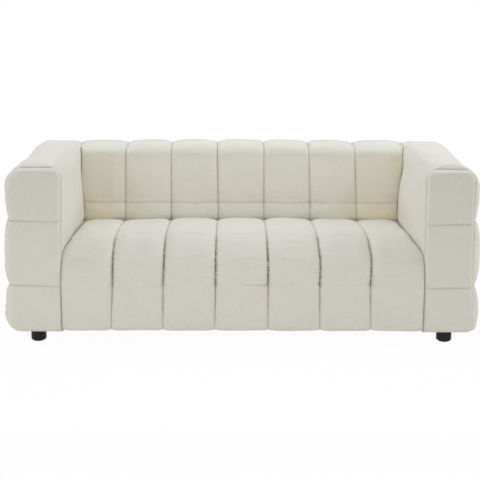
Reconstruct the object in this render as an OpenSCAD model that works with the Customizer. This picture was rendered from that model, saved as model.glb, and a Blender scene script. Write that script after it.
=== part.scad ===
// Channel-tufted tuxedo sofa: two padded box arms, a bench seat and a back of the same height as the
// arms, built as four units that bolt together, on short round feet.
// Millimetres. +X is the sitter's left, +Y is the back, +Z is up. The origin is on the floor at the centre.

/* [Overall] */
// Width over both arms
sofa_w = 2100; // [1800:10:2500]
// Depth from the arm fronts to the outside back
sofa_d = 880; // [800:10:1050]
// Height of the arms and the back above the floor
sofa_h = 810; // [710:10:950]
// Height of the feet, which is also the height of the underside
foot_h = 61; // [45:1:100]

/* [Arms] */
// Width of an arm from the seat side to its outer puffs
arm_w = 245; // [205:5:300]
// How far the three outer tiers puff out past their seams
arm_puff = 21; // [8:1:28]
// How far the inner face of an arm swells over the seat
arm_bulge = 26; // [6:1:30]
// Rounding of the long top edges of an arm
arm_edge_r = 42; // [25:1:45]
// Padding between the arm frame and the seat
arm_pad_t = 30; // [20:1:40]
// Padding between the arm frame and an outer tier seam
arm_side_t = 24; // [16:1:30]
// Thickness of the padded end facings
facing_t = 30; // [22:1:40]
// Depth of the seams between the tiers of a facing
facing_dip = 7; // [3:1:9]

/* [Seat] */
// Height of the seat crest above the floor
seat_h = 475; // [435:5:520]
// Depth of the seat from its front to the backrest
seat_depth = 577; // [520:5:620]
// Channels sewn side by side across the seat and the back
channel_count = 7; // [5:1:8]
// Depth of the sewn channel seams of the seat
seat_dip = 22; // [10:1:27]
// Depth of the rolled front edge, from the front of the seat to the seat's crest
seat_roll_d = 230; // [150:5:260]
// Fall of the domed seat from its crest to the backrest
seat_fall = 27; // [10:1:40]
// Channelled padding over the seat foam, measured at the crest
seat_pad_t = 85; // [70:1:95]
// Thickness of the seat foam block
seat_foam_t = 125; // [90:1:130]
// Padded front apron, measured at the crest
apron_t = 44; // [40:1:60]

/* [Back] */
// Lean of the backrest above the seat, in degrees
back_rake = 15.5; // [8:0.5:18]
// Height of the horizontal lumbar seam above the seat
lumbar_rise = 68; // [60:1:110]
// Depth of the lumbar seam
lumbar_dip = 9; // [3:1:14]
// Depth of the sewn channel seams of the back
back_dip = 19; // [8:1:24]
// Padding behind the channel seams of the back
back_pad_t = 27; // [20:1:35]
// Thickness of the back foam sheet
back_foam_t = 45; // [30:1:50]
// Rounding of the front top edge of the back
back_edge_r = 70; // [50:1:80]
// Padding over the frame tops of the arms and the back
top_pad_t = 45; // [40:1:55]
// Thickness of the outside back panel
back_panel_t = 8; // [5:1:12]

/* [Frame] */
// Thickness of the softwood rails
rail_t = 25; // [18:1:28]
// Thickness of the plywood boards and ribs
ply_t = 18; // [12:1:21]
// Thickness of the hardboard skins in the arms
skin_t = 3; // [2:0.5:5]
// Side of the square arm posts
post_w = 35; // [30:1:40]
// Number of plywood ribs in the back
rib_count = 5; // [3:1:6]
// Width of the three bearers across the seat frame
bearer_w = 45; // [35:1:60]
// Height of the bearers
bearer_h = 110; // [80:5:130]
// Leg of the triangular corner blocks
corner_leg = 90; // [60:5:110]

/* [Springs and straps] */
// Number of sinuous springs under the seat
spring_count = 9; // [7:1:10]
// Wire diameter of the sinuous springs
wire_d = 3.8; // [3:0.1:4.5]
// Width of a sinuous spring over its bends
spring_w = 52; // [46:1:64]
// Length along the spring from one bar of it to the next
bend_pitch = 26; // [22:1:30]
// Width of the elastic straps behind the back foam
strap_w = 50; // [35:5:55]
// Number of elastic straps
strap_count = 4; // [3:1:4]

/* [Feet] */
// Diameter of a foot
foot_d = 68; // [50:1:80]
// Distance from a foot's centre to the front or the back of the sofa
foot_inset = 72; // [65:1:120]
// Rounding of the lower edge of a foot
foot_edge_r = 6; // [2:1:8]
// Thickness of the glides under the feet
glide_t = 3; // [2:0.5:5]

/* [Fasteners] */
// Diameter of the bolts that join the units
bolt_d = 8; // [6:1:10]
// Length of the threaded inserts
insert_l = 15; // [10:1:17]
// Diameter of the foot studs
stud_d = 8; // [6:1:10]

/* [Hidden] */

// How far the crest of the domed seat stands above the level where the back starts to lean
seat_crown = 20;

// Clearances
soft_gap = 0.6;
bore_gap = 0.4;
overrun = 5;

// Planes that the units share
base_z = foot_h;
front_y = -sofa_d / 2;
rear_y = sofa_d / 2;
inner_x = sofa_w / 2 - arm_w;
outer_x = sofa_w / 2 - arm_puff;
tier_shares = [0, 0.268, 0.654, 1];
tier_z = [for (share = tier_shares) base_z + share * (sofa_h - base_z)];
frame_top_z = sofa_h - top_pad_t;
pad_half_w = inner_x - soft_gap;

// Mesh steps of the padded forms
across_steps = 6;
tier_steps = 6;
swell_steps = 8;
arc_steps = 5;
channel_power = 4;
tier_power = 2.6;
facing_power = 6;

// Arm planes and forms
arm_frame_x0 = inner_x + arm_pad_t;
arm_frame_x1 = outer_x - arm_side_t;
arm_frame_y = sofa_d / 2 - facing_t;
facing_inset = 12;
end_roll = 46;
end_drop = 12;
base_edge_r = arm_side_t - soft_gap;
facing_edge_t = 12;
facing_base_roll = 40;
swell_run = 90;
seat_level = seat_h - seat_crown;
swell_z0 = seat_h - seat_pad_t;
swell_z1 = sofa_h - arm_edge_r;
swell_skew = 0.6;

// Backrest planes, from the crest of the pad to the ribs
back_y = front_y + seat_depth;
lean = tan(back_rake);
lumbar_z = seat_level + lumbar_rise;
lumbar_run = 30;
back_skirt = 150;
back_low_z = seat_level - back_skirt;
back_core_y = back_y + back_dip + back_pad_t;
strap_t = 2;
rib_y = back_core_y + back_foam_t + strap_t;
rib_rear_y = rear_y - back_panel_t;

// Seat planes
seat_rear_y = back_y - soft_gap;
seat_core_y = front_y + apron_t;
foam_top_z = seat_h - seat_pad_t;
foam_z = foam_top_z - seat_foam_t;
seat_base_roll_r = 18;
tuft_r = 16;
tuft_dip_share = 1.2;
low_dip_share = 0.6;
roll_height_share = 0.94;
roll_power = 2.25;
foam_edge_r = 55;

// Seat frame planes
clip_t = 1.5;
rail_top_z = foam_z - wire_d - 2 * clip_t;
dust_t = 2;
rail_z = base_z + dust_t;
rear_rail_y = rib_y - rail_t;
corner_h = 40;

// Springs
spring_z = rail_top_z + clip_t + wire_d / 2;
spring_y0 = seat_core_y + rail_t / 2;
spring_y1 = rib_y - rail_t / 2;
bend_count = 2 * floor((spring_y1 - spring_y0) / (2 * bend_pitch)) + 1;
bend_r = (spring_y1 - spring_y0) / (2 * bend_count);
bar_l = spring_w - wire_d - 2 * bend_r;
clip_w = bar_l - wire_d;
clip_toe = 4;
clip_l = wire_d + 2 * clip_t + 2 * clip_toe;

// Fasteners
bolt_z = (rail_top_z + rail_z) / 2;
head_d = 1.7 * bolt_d;
head_t = 0.65 * bolt_d;
washer_d = 2.6 * bolt_d;
washer_t = 1.6;
insert_wall = 2;
insert_d = bolt_d + 2 * insert_wall;
bolt_rail_share = 0.46;
rail_h = (rail_top_z - rail_z) * bolt_rail_share;
block_w = 60;
seat_bolt_shares = [0.3, 0.75];
seat_bolt_y = [for (share = seat_bolt_shares) blend(seat_core_y, rear_rail_y, share)];
back_bolt_y = arm_frame_y - ply_t - post_w / 2;
back_bolt_drop = 190;
back_bolt_z = [bolt_z, frame_top_z - back_bolt_drop];
back_bolt_shares = [-0.75, -0.25, 0.25, 0.75];
stud_foot_l = 26;
stud_frame_l = 18;
stud_insert_d = stud_d + 2 * insert_wall;
glide_lip = 2;
glide_d = foot_d - 2 * foot_edge_r - 2 * glide_lip;
foot_x = (inner_x + outer_x) / 2;
foot_y = sofa_d / 2 - foot_inset;
foot_places = [[foot_x, -foot_y], [-foot_x, -foot_y], [foot_x, foot_y], [-foot_x, foot_y], [0, 0]];

fabric = "ivory";
foam = "khaki";
pine = "burlywood";
plywood = "tan";
steel = "silver";
board_brown = "peru";
black = [0.12, 0.12, 0.13];

// ---- shape rules ----

// Stations from 0 to 1 that crowd towards both ends
function spread(i, n) = (1 - cos(180 * i / n)) / 2;

// Height of a puffed pad across its width, from 0 at its seams to 1 at its crest
function crown(t, power) = sqrt(max(0, 1 - pow(abs(2 * t - 1), power)));

function blend(a, b, t) = a + (b - a) * t;

function smooth(t) = let (c = min(1, max(0, t))) c * c * (3 - 2 * c);

// What a rounded edge of radius r takes off at a distance d from the edge
function round_off(r, d) = d >= r ? 0 : r - sqrt(max(0, r * r - (r - d) * (r - d)));

// Swell of the inner face of an arm, by height and by depth
function swell_height(z) =
    let (t = (z - swell_z0) / (swell_z1 - swell_z0))
    t <= 0 || t >= 1 ? 0 : sin(180 * pow(t, swell_skew));

function swell_depth(y) =
    smooth((y + arm_frame_y) / swell_run) * smooth((back_y + swell_run - y) / swell_run);

function arm_inner_x(y, z) = inner_x - arm_bulge * swell_height(z) * swell_depth(y);

// Puff of an outer tier, from 0 at its seams to 1 at its crest. The lowest and the highest tier end
// past the arm's own edges, so that they are still full there.
function tier_crown(z) =
    let (
        k = z < tier_z[1] ? 0 : z < tier_z[2] ? 1 : 2,
        low = k == 0 ? tier_z[0] - 2 * base_edge_r : tier_z[k],
        high = k == 2 ? tier_z[3] + arm_edge_r : tier_z[k + 1]
    )
    crown((z - low) / (high - low), tier_power);

// ---- arms ----

corner_rows = [for (i = [1:arc_steps]) swell_z1 + arm_edge_r * sin(90 * i / arc_steps)];
base_rows = [for (i = [0:3]) base_z + base_edge_r * (1 - cos(90 * i / 3))];
tier_rows = [
    for (k = [0:2])
        for (i = [0:tier_steps - 1])
            blend(tier_z[k], tier_z[k + 1], spread(i, tier_steps))
];
inner_rows = concat([base_z], [for (i = [0:swell_steps]) blend(swell_z0, swell_z1, i / swell_steps)]);
outer_rows = concat(base_rows, [for (z = tier_rows) if (z > base_rows[3] && z < swell_z1) z], [swell_z1]);

// Outline of an arm across X and Z at depth y, from its inner foot over the top to its outer foot.
// full is 0 at the end facings and 1 where the padding has its whole swell.
function arm_section(y, full) =
    let (
        drop = end_drop * (1 - full),
        inner = function (z) arm_inner_x(y, z) + round_off(arm_edge_r, sofa_h - z),
        outer = function (z)
            outer_x + full * arm_puff * tier_crown(z) - facing_inset * (1 - full)
            - round_off(arm_edge_r, sofa_h - z) - round_off(base_edge_r, z - base_z),
        level = function (z) z - drop * smooth((z - swell_z0) / (swell_z1 - swell_z0))
    )
    concat(
        [for (z = inner_rows) [inner(z), level(z)]],
        [for (z = corner_rows) [inner(z), z - drop]],
        [for (t = [0.35, 0.65]) [blend(inner(sofa_h), outer(sofa_h), t), sofa_h - drop]],
        [for (i = [arc_steps - 1:-1:0]) [outer(corner_rows[i]), corner_rows[i] - drop]],
        [for (i = [len(outer_rows) - 1:-1:0]) [outer(outer_rows[i]), level(outer_rows[i])]]
    );

// How full the padding is at a distance from an end facing
function end_full(d) = d >= end_roll ? 1 : sqrt(1 - pow(1 - d / end_roll, 2));

end_shares = [0, 0.12, 0.45, 1];
arm_stations = concat(
    [for (share = end_shares) -arm_frame_y + share * end_roll],
    [-arm_frame_y + swell_run, (back_y - arm_frame_y) / 2],
    [for (i = [0:3]) back_y + swell_run * i / 3],
    [for (i = [3:-1:0]) arm_frame_y - end_shares[i] * end_roll]
);

// One padded end facing in three tiers, its flat side on the plane of the arm's end
facing_across_shares = [0, 0.03, 0.1, 0.25, 0.5, 0.75, 0.9, 0.97, 1];
facing_rows = concat(
    [for (z = outer_rows) if (z < swell_z1) z],
    [for (i = [0:arc_steps]) i == 0 ? swell_z1 : corner_rows[i - 1]]
);

function facing_puff(t, z) =
    let (
        edge = crown(t, facing_power),
        seam = facing_dip * (1 - tier_crown(z)),
        roll = 1 - round_off(1, min(1, (z - base_z) / facing_base_roll)),
        full = facing_t - facing_edge_t - seam
    )
    facing_edge_t + full * edge * roll;

function facing_ring(z) =
    let (
        x0 = inner_x + round_off(arm_edge_r, sofa_h - z),
        x1 = outer_x - facing_inset
            - round_off(arm_edge_r, sofa_h - z) - round_off(base_edge_r, z - base_z),
        height = z - end_drop * smooth((z - swell_z0) / (swell_z1 - swell_z0))
    )
    concat(
        [[x1, -arm_frame_y, height], [x0, -arm_frame_y, height]],
        [for (t = facing_across_shares) [blend(x0, x1, t), -arm_frame_y - facing_puff(t, z), height]]
    );

// ---- seat and back channels ----

// Every station across the sofa as its channel and its share of that channel
stations = concat(
    [for (c = [0:channel_count - 1]) for (i = [0:across_steps - 1]) [c, spread(i, across_steps)]],
    [[channel_count - 1, 1]]
);

function seam_x(k) = blend(-inner_x, inner_x, k / channel_count);

// The outermost channels end on the swelling inner faces of the arms
function channel_x(c, t, y, z) =
    let (
        side = arm_inner_x(y, z) - soft_gap,
        left = c == 0 ? -side : seam_x(c),
        right = c == channel_count - 1 ? side : seam_x(c + 1)
    )
    blend(left, right, t);

// Rows of a profile are [y, z, inward y, inward z, share of the channel dip, further dip]
function channel_ring(rows, dip, station) =
    [
        for (row = rows)
            let (
                depth = dip * (1 - crown(station[1], channel_power)) * row[4] + row[5],
                y = row[0] + row[2] * depth,
                z = row[1] + row[3] * depth
            )
            [channel_x(station[0], station[1], y, z), y, z]
    ];

crest_y = front_y + seat_roll_d;
roll_h = (seat_h - tier_z[1] - tuft_r) * roll_height_share;
roll_steps = 7;
seat_dome_shares = [0, 0.25, 0.6];
apron_rows = [
    [tier_z[1] + tuft_r, 1],
    [tier_z[1], tuft_dip_share],
    [tier_z[1] - tuft_r, low_dip_share],
    [(tier_z[1] - tuft_r + base_z + seat_base_roll_r) / 2, low_dip_share]
];

// The rolled front falls from the crest along a full, egg-shaped quarter
function roll_row(a) =
    let (
        across = pow(sin(a), 2 / roll_power),
        up = pow(cos(a), 2 / roll_power),
        way = [pow(sin(a), 2 - 2 / roll_power) / seat_roll_d, pow(cos(a), 2 - 2 / roll_power) / roll_h],
        inward = way / norm(way)
    )
    [crest_y - seat_roll_d * across, seat_h - roll_h * (1 - up), inward[0], -inward[1], 1, 0];

seat_rows = concat(
    [[seat_rear_y, base_z, 0, 0, 0, 0]],
    [
        for (share = seat_dome_shares)
            [blend(seat_rear_y, crest_y, share), seat_h - seat_fall * pow(1 - share, 2), 0, -1, 1, 0]
    ],
    [for (i = [0:roll_steps]) roll_row(90 * i / roll_steps)],
    [for (row = apron_rows) [front_y, row[0], 1, 0, row[1], 0]],
    [
        for (i = [0:2])
            let (a = 90 * i / 2)
            [
                front_y + seat_base_roll_r * (1 - cos(a)), base_z + seat_base_roll_r * (1 - sin(a)),
                1, 0, low_dip_share, 0
            ]
    ]
);

// Crest line of the backrest
function back_line(z) = back_y + max(0, z - seat_level) * lean;

back_arc_z = sofa_h - back_edge_r;
back_face_z = back_arc_z + back_edge_r * sin(back_rake);
back_arc_y = back_line(back_face_z) + back_edge_r * cos(back_rake);
rear_arc_y = rear_y - top_pad_t;
back_face_rows = [
    [blend(lumbar_z + lumbar_run, back_face_z, 0.5), 0],
    [lumbar_z + lumbar_run, 0], [lumbar_z, lumbar_dip], [lumbar_z - lumbar_run, 0],
    [(seat_level + lumbar_z - lumbar_run) / 2, 0], [seat_level, 0], [seat_level - lumbar_run, 0],
    [back_low_z, 0]
];
back_rows = concat(
    [[rear_y, back_low_z, 0, 0, 0, 0]],
    [
        for (i = [0:arc_steps])
            let (a = 90 * i / arc_steps)
            [rear_arc_y + top_pad_t * cos(a), frame_top_z + top_pad_t * sin(a), -cos(a), -sin(a), sin(a), 0]
    ],
    [[(back_arc_y + rear_arc_y) / 2, sofa_h, 0, -1, 1, 0]],
    [
        for (i = [0:arc_steps])
            let (a = blend(90, back_rake, i / arc_steps))
            [back_arc_y - back_edge_r * cos(a), back_arc_z + back_edge_r * sin(a), cos(a), -sin(a), 1, 0]
    ],
    [
        for (row = back_face_rows)
            let (leaning = row[0] > seat_level)
            [
                back_line(row[0]), row[0],
                leaning ? cos(back_rake) : 1, leaning ? -sin(back_rake) : 0, 1, row[1]
            ]
    ]
);

// ---- shared solids ----

// Skins a row of rings of equal size and closes both ends with fans
module loft(rings) {
    count = len(rings);
    size = len(rings[0]);
    last = (count - 1) * size;
    ends = [
        for (ring = [rings[0], rings[count - 1]])
            [for (axis = [0:2]) (min([for (p = ring) p[axis]]) + max([for (p = ring) p[axis]])) / 2]
    ];
    walls = [
        for (k = [0:count - 2])
            for (i = [0:size - 1])
                let (a = k * size + i, b = k * size + (i + 1) % size)
                each [[a, a + size, b], [b, a + size, b + size]]
    ];
    caps = [
        for (i = [0:size - 1])
            let (j = (i + 1) % size)
            each [[count * size, i, j], [count * size + 1, last + j, last + i]]
    ];
    polyhedron(points = concat([for (ring = rings) each ring], ends), faces = concat(walls, caps));
}

// A board between two opposite corners
module board(low, high) {
    translate(low)
        cube(high - low);
}

// A round rod or bore that starts at a place and runs along +X, +Y or +Z
module rod_x(place, d, length) {
    translate(place)
        rotate([0, 90, 0])
            cylinder(d = d, h = length, $fn = 48);
}

module rod_y(place, d, length) {
    translate(place)
        rotate([-90, 0, 0])
            cylinder(d = d, h = length, $fn = 48);
}

module rod_z(place, d, length) {
    translate(place)
        cylinder(d = d, h = length, $fn = 48);
}

// A plate that is drawn in Y and Z and runs along X
module plate_x(x, thickness) {
    translate([x, 0, 0])
        rotate([90, 0, 90])
            linear_extrude(thickness)
                children();
}

// ---- arm pieces, drawn for the arm at +X ----

// Places of the bolts that join an arm to the seat and to the back
seat_side_bolts = [for (y = seat_bolt_y) [y, bolt_z]];
back_side_bolts = [for (z = back_bolt_z) [back_bolt_y, z]];
side_bolts = concat(seat_side_bolts, back_side_bolts);

module arm_cover() {
    rings = [
        for (y = arm_stations)
            [for (p = arm_section(y, end_full(arm_frame_y - abs(y)))) [p[0], y, p[1]]]
    ];
    color(fabric)
        difference() {
            loft(rings);
            board(
                [arm_frame_x0, -arm_frame_y - overrun, base_z - overrun],
                [arm_frame_x1, arm_frame_y + overrun, frame_top_z]
            );
            for (p = side_bolts)
                board(
                    [inner_x - overrun, p[0] - block_w / 2 - bore_gap, p[1] - block_w / 2 - bore_gap],
                    [arm_frame_x0 + overrun, p[0] + block_w / 2 + bore_gap, p[1] + block_w / 2 + bore_gap]
                );
        }
}

module arm_facing() {
    color(fabric)
        loft([for (z = facing_rows) facing_ring(z)]);
}

arm_board_z0 = base_z + rail_t;
arm_board_z1 = frame_top_z - ply_t;
hand_hole_d = 90;

module arm_end_boards() {
    middle_x = (arm_frame_x0 + arm_frame_x1) / 2;
    hole_z = [blend(arm_board_z0, arm_board_z1, 0.3), blend(arm_board_z0, arm_board_z1, 0.7)];
    color(plywood)
        for (y = [-arm_frame_y, arm_frame_y - ply_t])
            difference() {
                board([arm_frame_x0, y, arm_board_z0], [arm_frame_x1, y + ply_t, arm_board_z1]);
                for (z = hole_z)
                    rod_y([middle_x, y - overrun, z], hand_hole_d, ply_t + 2 * overrun);
            }
}

module arm_posts() {
    x0 = arm_frame_x0 + skin_t;
    x1 = arm_frame_x1 - skin_t - post_w;
    y0 = arm_frame_y - ply_t - post_w;
    color(pine)
        difference() {
            for (x = [x0, x1])
                for (y = [-y0 - post_w, y0])
                    board([x, y, arm_board_z0], [x + post_w, y + post_w, arm_board_z1]);
            for (p = back_side_bolts)
                rod_x([x0 - overrun, p[0], p[1]], insert_d, insert_l + overrun);
        }
}

module arm_top_board() {
    color(plywood)
        board([arm_frame_x0, -arm_frame_y, arm_board_z1], [arm_frame_x1, arm_frame_y, frame_top_z]);
}

module arm_base_board() {
    color(pine)
        difference() {
            board([arm_frame_x0, -arm_frame_y, base_z], [arm_frame_x1, arm_frame_y, arm_board_z0]);
            for (y = [-foot_y, foot_y]) {
                rod_z([foot_x, y, base_z - overrun], stud_insert_d, insert_l + overrun);
                rod_z([foot_x, y, base_z], stud_d + 2 * bore_gap, stud_frame_l + bore_gap);
            }
        }
}

// The rail that takes the seat bolts, and the blocks that carry the joint through the padding
module arm_bolt_rail() {
    x0 = arm_frame_x0 + skin_t;
    end_y = arm_frame_y - ply_t - post_w;
    color(pine)
        difference() {
            union() {
                board([x0, -end_y, bolt_z - rail_h / 2], [x0 + rail_t, end_y, bolt_z + rail_h / 2]);
                for (p = side_bolts)
                    board(
                        [inner_x, p[0] - block_w / 2, p[1] - block_w / 2],
                        [arm_frame_x0, p[0] + block_w / 2, p[1] + block_w / 2]
                    );
            }
            for (p = side_bolts)
                rod_x([inner_x - overrun, p[0], p[1]], bolt_d + 2 * bore_gap, arm_pad_t + 2 * overrun);
            for (p = seat_side_bolts)
                rod_x([x0 - overrun, p[0], p[1]], insert_d, insert_l + overrun);
        }
}

module arm_skins() {
    end_y = arm_frame_y - ply_t;
    color(board_brown)
        difference() {
            for (x = [arm_frame_x0, arm_frame_x1 - skin_t])
                board([x, -end_y, arm_board_z0], [x + skin_t, end_y, arm_board_z1]);
            for (p = side_bolts)
                rod_x([arm_frame_x0 - overrun, p[0], p[1]], bolt_d + 2 * bore_gap, skin_t + 2 * overrun);
        }
}

module left_arm_cover() {
    arm_cover();
}

module left_arm_front_facing() {
    arm_facing();
}

module left_arm_rear_facing() {
    mirror([0, 1, 0])
        arm_facing();
}

module left_arm_end_boards() {
    arm_end_boards();
}

module left_arm_posts() {
    arm_posts();
}

module left_arm_top_board() {
    arm_top_board();
}

module left_arm_base_board() {
    arm_base_board();
}

module left_arm_bolt_rail() {
    arm_bolt_rail();
}

module left_arm_skins() {
    arm_skins();
}

module right_arm_cover() {
    mirror([1, 0, 0])
        arm_cover();
}

module right_arm_front_facing() {
    mirror([1, 0, 0])
        arm_facing();
}

module right_arm_rear_facing() {
    mirror([1, 0, 0])
        mirror([0, 1, 0])
            arm_facing();
}

module right_arm_end_boards() {
    mirror([1, 0, 0])
        arm_end_boards();
}

module right_arm_posts() {
    mirror([1, 0, 0])
        arm_posts();
}

module right_arm_top_board() {
    mirror([1, 0, 0])
        arm_top_board();
}

module right_arm_base_board() {
    mirror([1, 0, 0])
        arm_base_board();
}

module right_arm_bolt_rail() {
    mirror([1, 0, 0])
        arm_bolt_rail();
}

module right_arm_skins() {
    mirror([1, 0, 0])
        arm_skins();
}

// ---- seat ----

// Y and Z outline of what the seat cover goes over, rounded along the foam's front edge
module seat_core(low_z, high_y) {
    polygon(concat(
        [
            for (i = [0:arc_steps])
                let (a = 90 * i / arc_steps)
                [
                    seat_core_y + foam_edge_r * (1 - cos(a)),
                    foam_top_z - foam_edge_r * (1 - sin(a))
                ]
        ],
        [[high_y, foam_top_z], [high_y, low_z], [seat_core_y, low_z]]
    ));
}

module seat_cover() {
    color(fabric)
        difference() {
            loft([for (station = stations) channel_ring(seat_rows, seat_dip, station)]);
            plate_x(-inner_x - overrun, 2 * inner_x + 2 * overrun)
                seat_core(base_z - overrun, seat_rear_y + overrun);
        }
}

module seat_foam() {
    color(foam)
        plate_x(-pad_half_w, 2 * pad_half_w)
            seat_core(foam_z, seat_rear_y);
}

// Insulator between the springs and the foam
module seat_felt() {
    color("dimgray")
        board(
            [-inner_x + rail_t, spring_y0 + clip_l, foam_z - clip_t],
            [inner_x - rail_t, seat_rear_y, foam_z]
        );
}

// Path of one sinuous spring: straight bars along X that half-circle bends join on alternate sides.
// A row is [x, y, heading].
bend_steps = 3;
wire_sides = 5;
spring_path = concat(
    [[-bar_l / 2, spring_y0, 0]],
    [
        for (k = [0:bend_count - 1])
            for (j = [0:bend_steps])
                let (
                    turn = (k % 2 == 0 ? 1 : -1) * 180 * j / bend_steps,
                    side = k % 2 == 0 ? 1 : -1,
                    heading = (k % 2 == 0 ? 0 : 180) + turn
                )
                [
                    side * (bar_l / 2 + bend_r * sin(180 * j / bend_steps)),
                    spring_y0 + bend_r * (2 * k + 1 - cos(180 * j / bend_steps)),
                    heading
                ]
    ],
    [[-bar_l / 2, spring_y1, 180]]
);

// The wire is swept along the path as one unbroken tube
module sinuous_spring() {
    loft([
        for (p = spring_path)
            [
                for (i = [0:wire_sides - 1])
                    let (a = 360 * i / wire_sides + 90, across = wire_d / 2 * cos(a))
                    [p[0] - across * sin(p[2]), p[1] + across * cos(p[2]), spring_z + wire_d / 2 * sin(a)]
            ]
    ]);
}

spring_pitch = (2 * inner_x - 2 * rail_t) / spring_count;
spring_x = [for (i = [0:spring_count - 1]) (i - (spring_count - 1) / 2) * spring_pitch];

module seat_springs() {
    color(steel)
        for (x = spring_x)
            translate([x, 0, 0])
                sinuous_spring();
}

// A clip is a foot on the rail and a curl round the end bar, open towards the spring
module spring_clip() {
    curl_d = wire_d + 2 * clip_t;
    difference() {
        union() {
            board([-clip_w / 2, -clip_l / 2, rail_top_z], [clip_w / 2, clip_l / 2, rail_top_z + clip_t]);
            rod_x([-clip_w / 2, 0, spring_z], curl_d, clip_w);
        }
        rod_x([-clip_w / 2 - overrun, 0, spring_z], wire_d, clip_w + 2 * overrun);
        board(
            [-clip_w / 2 - overrun, 0, rail_top_z + clip_t],
            [clip_w / 2 + overrun, curl_d, spring_z]
        );
    }
}

module spring_clips() {
    color("dimgray")
        for (x = spring_x)
            translate([x, 0, 0]) {
                translate([0, spring_y0, 0])
                    spring_clip();
                translate([0, spring_y1, 0])
                    mirror([0, 1, 0])
                        spring_clip();
            }
}

module seat_front_rail() {
    color(pine)
        board([-inner_x, seat_core_y, rail_z], [inner_x, seat_core_y + rail_t, rail_top_z]);
}

back_bolt_x = [for (share = back_bolt_shares) share * inner_x];

module seat_rear_rail() {
    color(pine)
        difference() {
            board([-inner_x, rear_rail_y, rail_z], [inner_x, rib_y, rail_top_z]);
            for (x = back_bolt_x)
                rod_y([x, rear_rail_y - overrun, bolt_z], bolt_d + 2 * bore_gap, rail_t + 2 * overrun);
        }
}

module seat_side_rails() {
    color(pine)
        for (side = [0, 1])
            mirror([side, 0, 0])
                difference() {
                    board(
                        [inner_x - rail_t, seat_core_y + rail_t, rail_z],
                        [inner_x, rear_rail_y, rail_top_z]
                    );
                    for (p = seat_side_bolts)
                        rod_x(
                            [inner_x - rail_t - overrun, p[0], p[1]],
                            bolt_d + 2 * bore_gap, rail_t + 2 * overrun
                        );
                }
}

bearer_x = [-inner_x / 2, 0, inner_x / 2];

module seat_bearers() {
    color(pine)
        difference() {
            for (x = bearer_x)
                board(
                    [x - bearer_w / 2, seat_core_y + rail_t, rail_z],
                    [x + bearer_w / 2, rear_rail_y, rail_z + bearer_h]
                );
            rod_z([0, 0, rail_z - overrun], stud_insert_d, insert_l + overrun);
            rod_z([0, 0, rail_z], stud_d + 2 * bore_gap, stud_frame_l + bore_gap);
        }
}

module seat_corner_blocks() {
    corner_x = inner_x - rail_t;
    low_z = rail_top_z - corner_h - rail_t;
    places = [[seat_core_y + rail_t, 1], [rear_rail_y, -1]];
    color(pine)
        for (side = [-1, 1])
            for (place = places)
                translate([side * corner_x, place[0], low_z])
                    linear_extrude(corner_h)
                        polygon([[0, 0], [-side * corner_leg, 0], [0, place[1] * corner_leg]]);
}

module dust_cover() {
    color(black)
        difference() {
            board([-pad_half_w, seat_core_y, base_z], [pad_half_w, rib_rear_y, rail_z]);
            rod_z([0, 0, base_z - overrun], stud_insert_d, dust_t + 2 * overrun);
        }
}

// ---- back ----

// Y and Z outline of a layer behind the cover, between two offsets in y from the core plane
function back_layer(z0, z1, y0, y1) =
    let (
        low = back_core_y,
        front = function (z) low + max(0, z - seat_level) * lean,
        heights = z0 < seat_level && z1 > seat_level ? [z0, seat_level, z1] : [z0, z1]
    )
    concat(
        [for (z = heights) [front(z) + y0, z]],
        [for (i = [len(heights) - 1:-1:0]) [front(heights[i]) + y1, heights[i]]]
    );

module back_cover() {
    core_top_y = back_core_y + (frame_top_z - seat_level) * lean;
    color(fabric)
        difference() {
            loft([for (station = stations) channel_ring(back_rows, back_dip, station)]);
            plate_x(-inner_x - overrun, 2 * inner_x + 2 * overrun)
                polygon([
                    [back_core_y, back_low_z - overrun],
                    [back_core_y, seat_level],
                    [core_top_y, frame_top_z],
                    [rear_y + overrun, frame_top_z],
                    [rear_y + overrun, back_low_z - overrun]
                ]);
        }
}

module back_foam() {
    color(foam)
        plate_x(-pad_half_w, 2 * pad_half_w)
            polygon(back_layer(back_low_z, frame_top_z, 0, back_foam_t));
}

strap_low_z = seat_level + strap_w / 2;
strap_high_z = frame_top_z - rail_t - strap_w / 2;

module back_straps() {
    color("dimgray")
        for (i = [0:strap_count - 1]) {
            z = blend(strap_low_z, strap_high_z, (i + 0.5) / strap_count);
            plate_x(-inner_x + bore_gap, 2 * inner_x - 2 * bore_gap)
                polygon(back_layer(z - strap_w / 2, z + strap_w / 2, back_foam_t, back_foam_t + strap_t));
        }
}

function rib_front(z) = rib_y + max(0, z - seat_level) * lean;

batten_w = 60;
batten_z = [rail_z, blend(rail_z, frame_top_z, 0.5)];
rib_top_z = frame_top_z - rail_t;
rib_x = [for (i = [0:rib_count - 1]) blend(-inner_x + ply_t / 2, inner_x - ply_t / 2, i / (rib_count - 1))];

// Outline of a rib, notched for the base rail and the battens and lightened by two slots
module rib_outline() {
    slot_y = blend(rib_y, rib_rear_y, 0.42);
    slot_r = (rib_rear_y - rib_y) * 0.2;
    slots = [[rail_top_z + slot_r, bolt_z + block_w], [rail_top_z + 3 * slot_r, lumbar_z - slot_r]];
    difference() {
        polygon([
            [rib_y, rail_z], [rib_y, seat_level], [rib_front(rib_top_z), rib_top_z],
            [rib_rear_y, rib_top_z], [rib_rear_y, rail_z]
        ]);
        translate([rib_y - overrun, rail_z - overrun])
            square([rail_t + overrun, rail_top_z - rail_z + overrun]);
        for (z = batten_z)
            translate([rib_rear_y - rail_t, z])
                square([rail_t + overrun, batten_w]);
        translate([slot_y - slot_r, rail_top_z + 2 * slot_r])
            square([2 * slot_r, lumbar_z - rail_top_z - 4 * slot_r]);
        for (z = [rail_top_z + 2 * slot_r, lumbar_z - 2 * slot_r])
            translate([slot_y, z])
                circle(r = slot_r, $fn = 48);
    }
}

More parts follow.
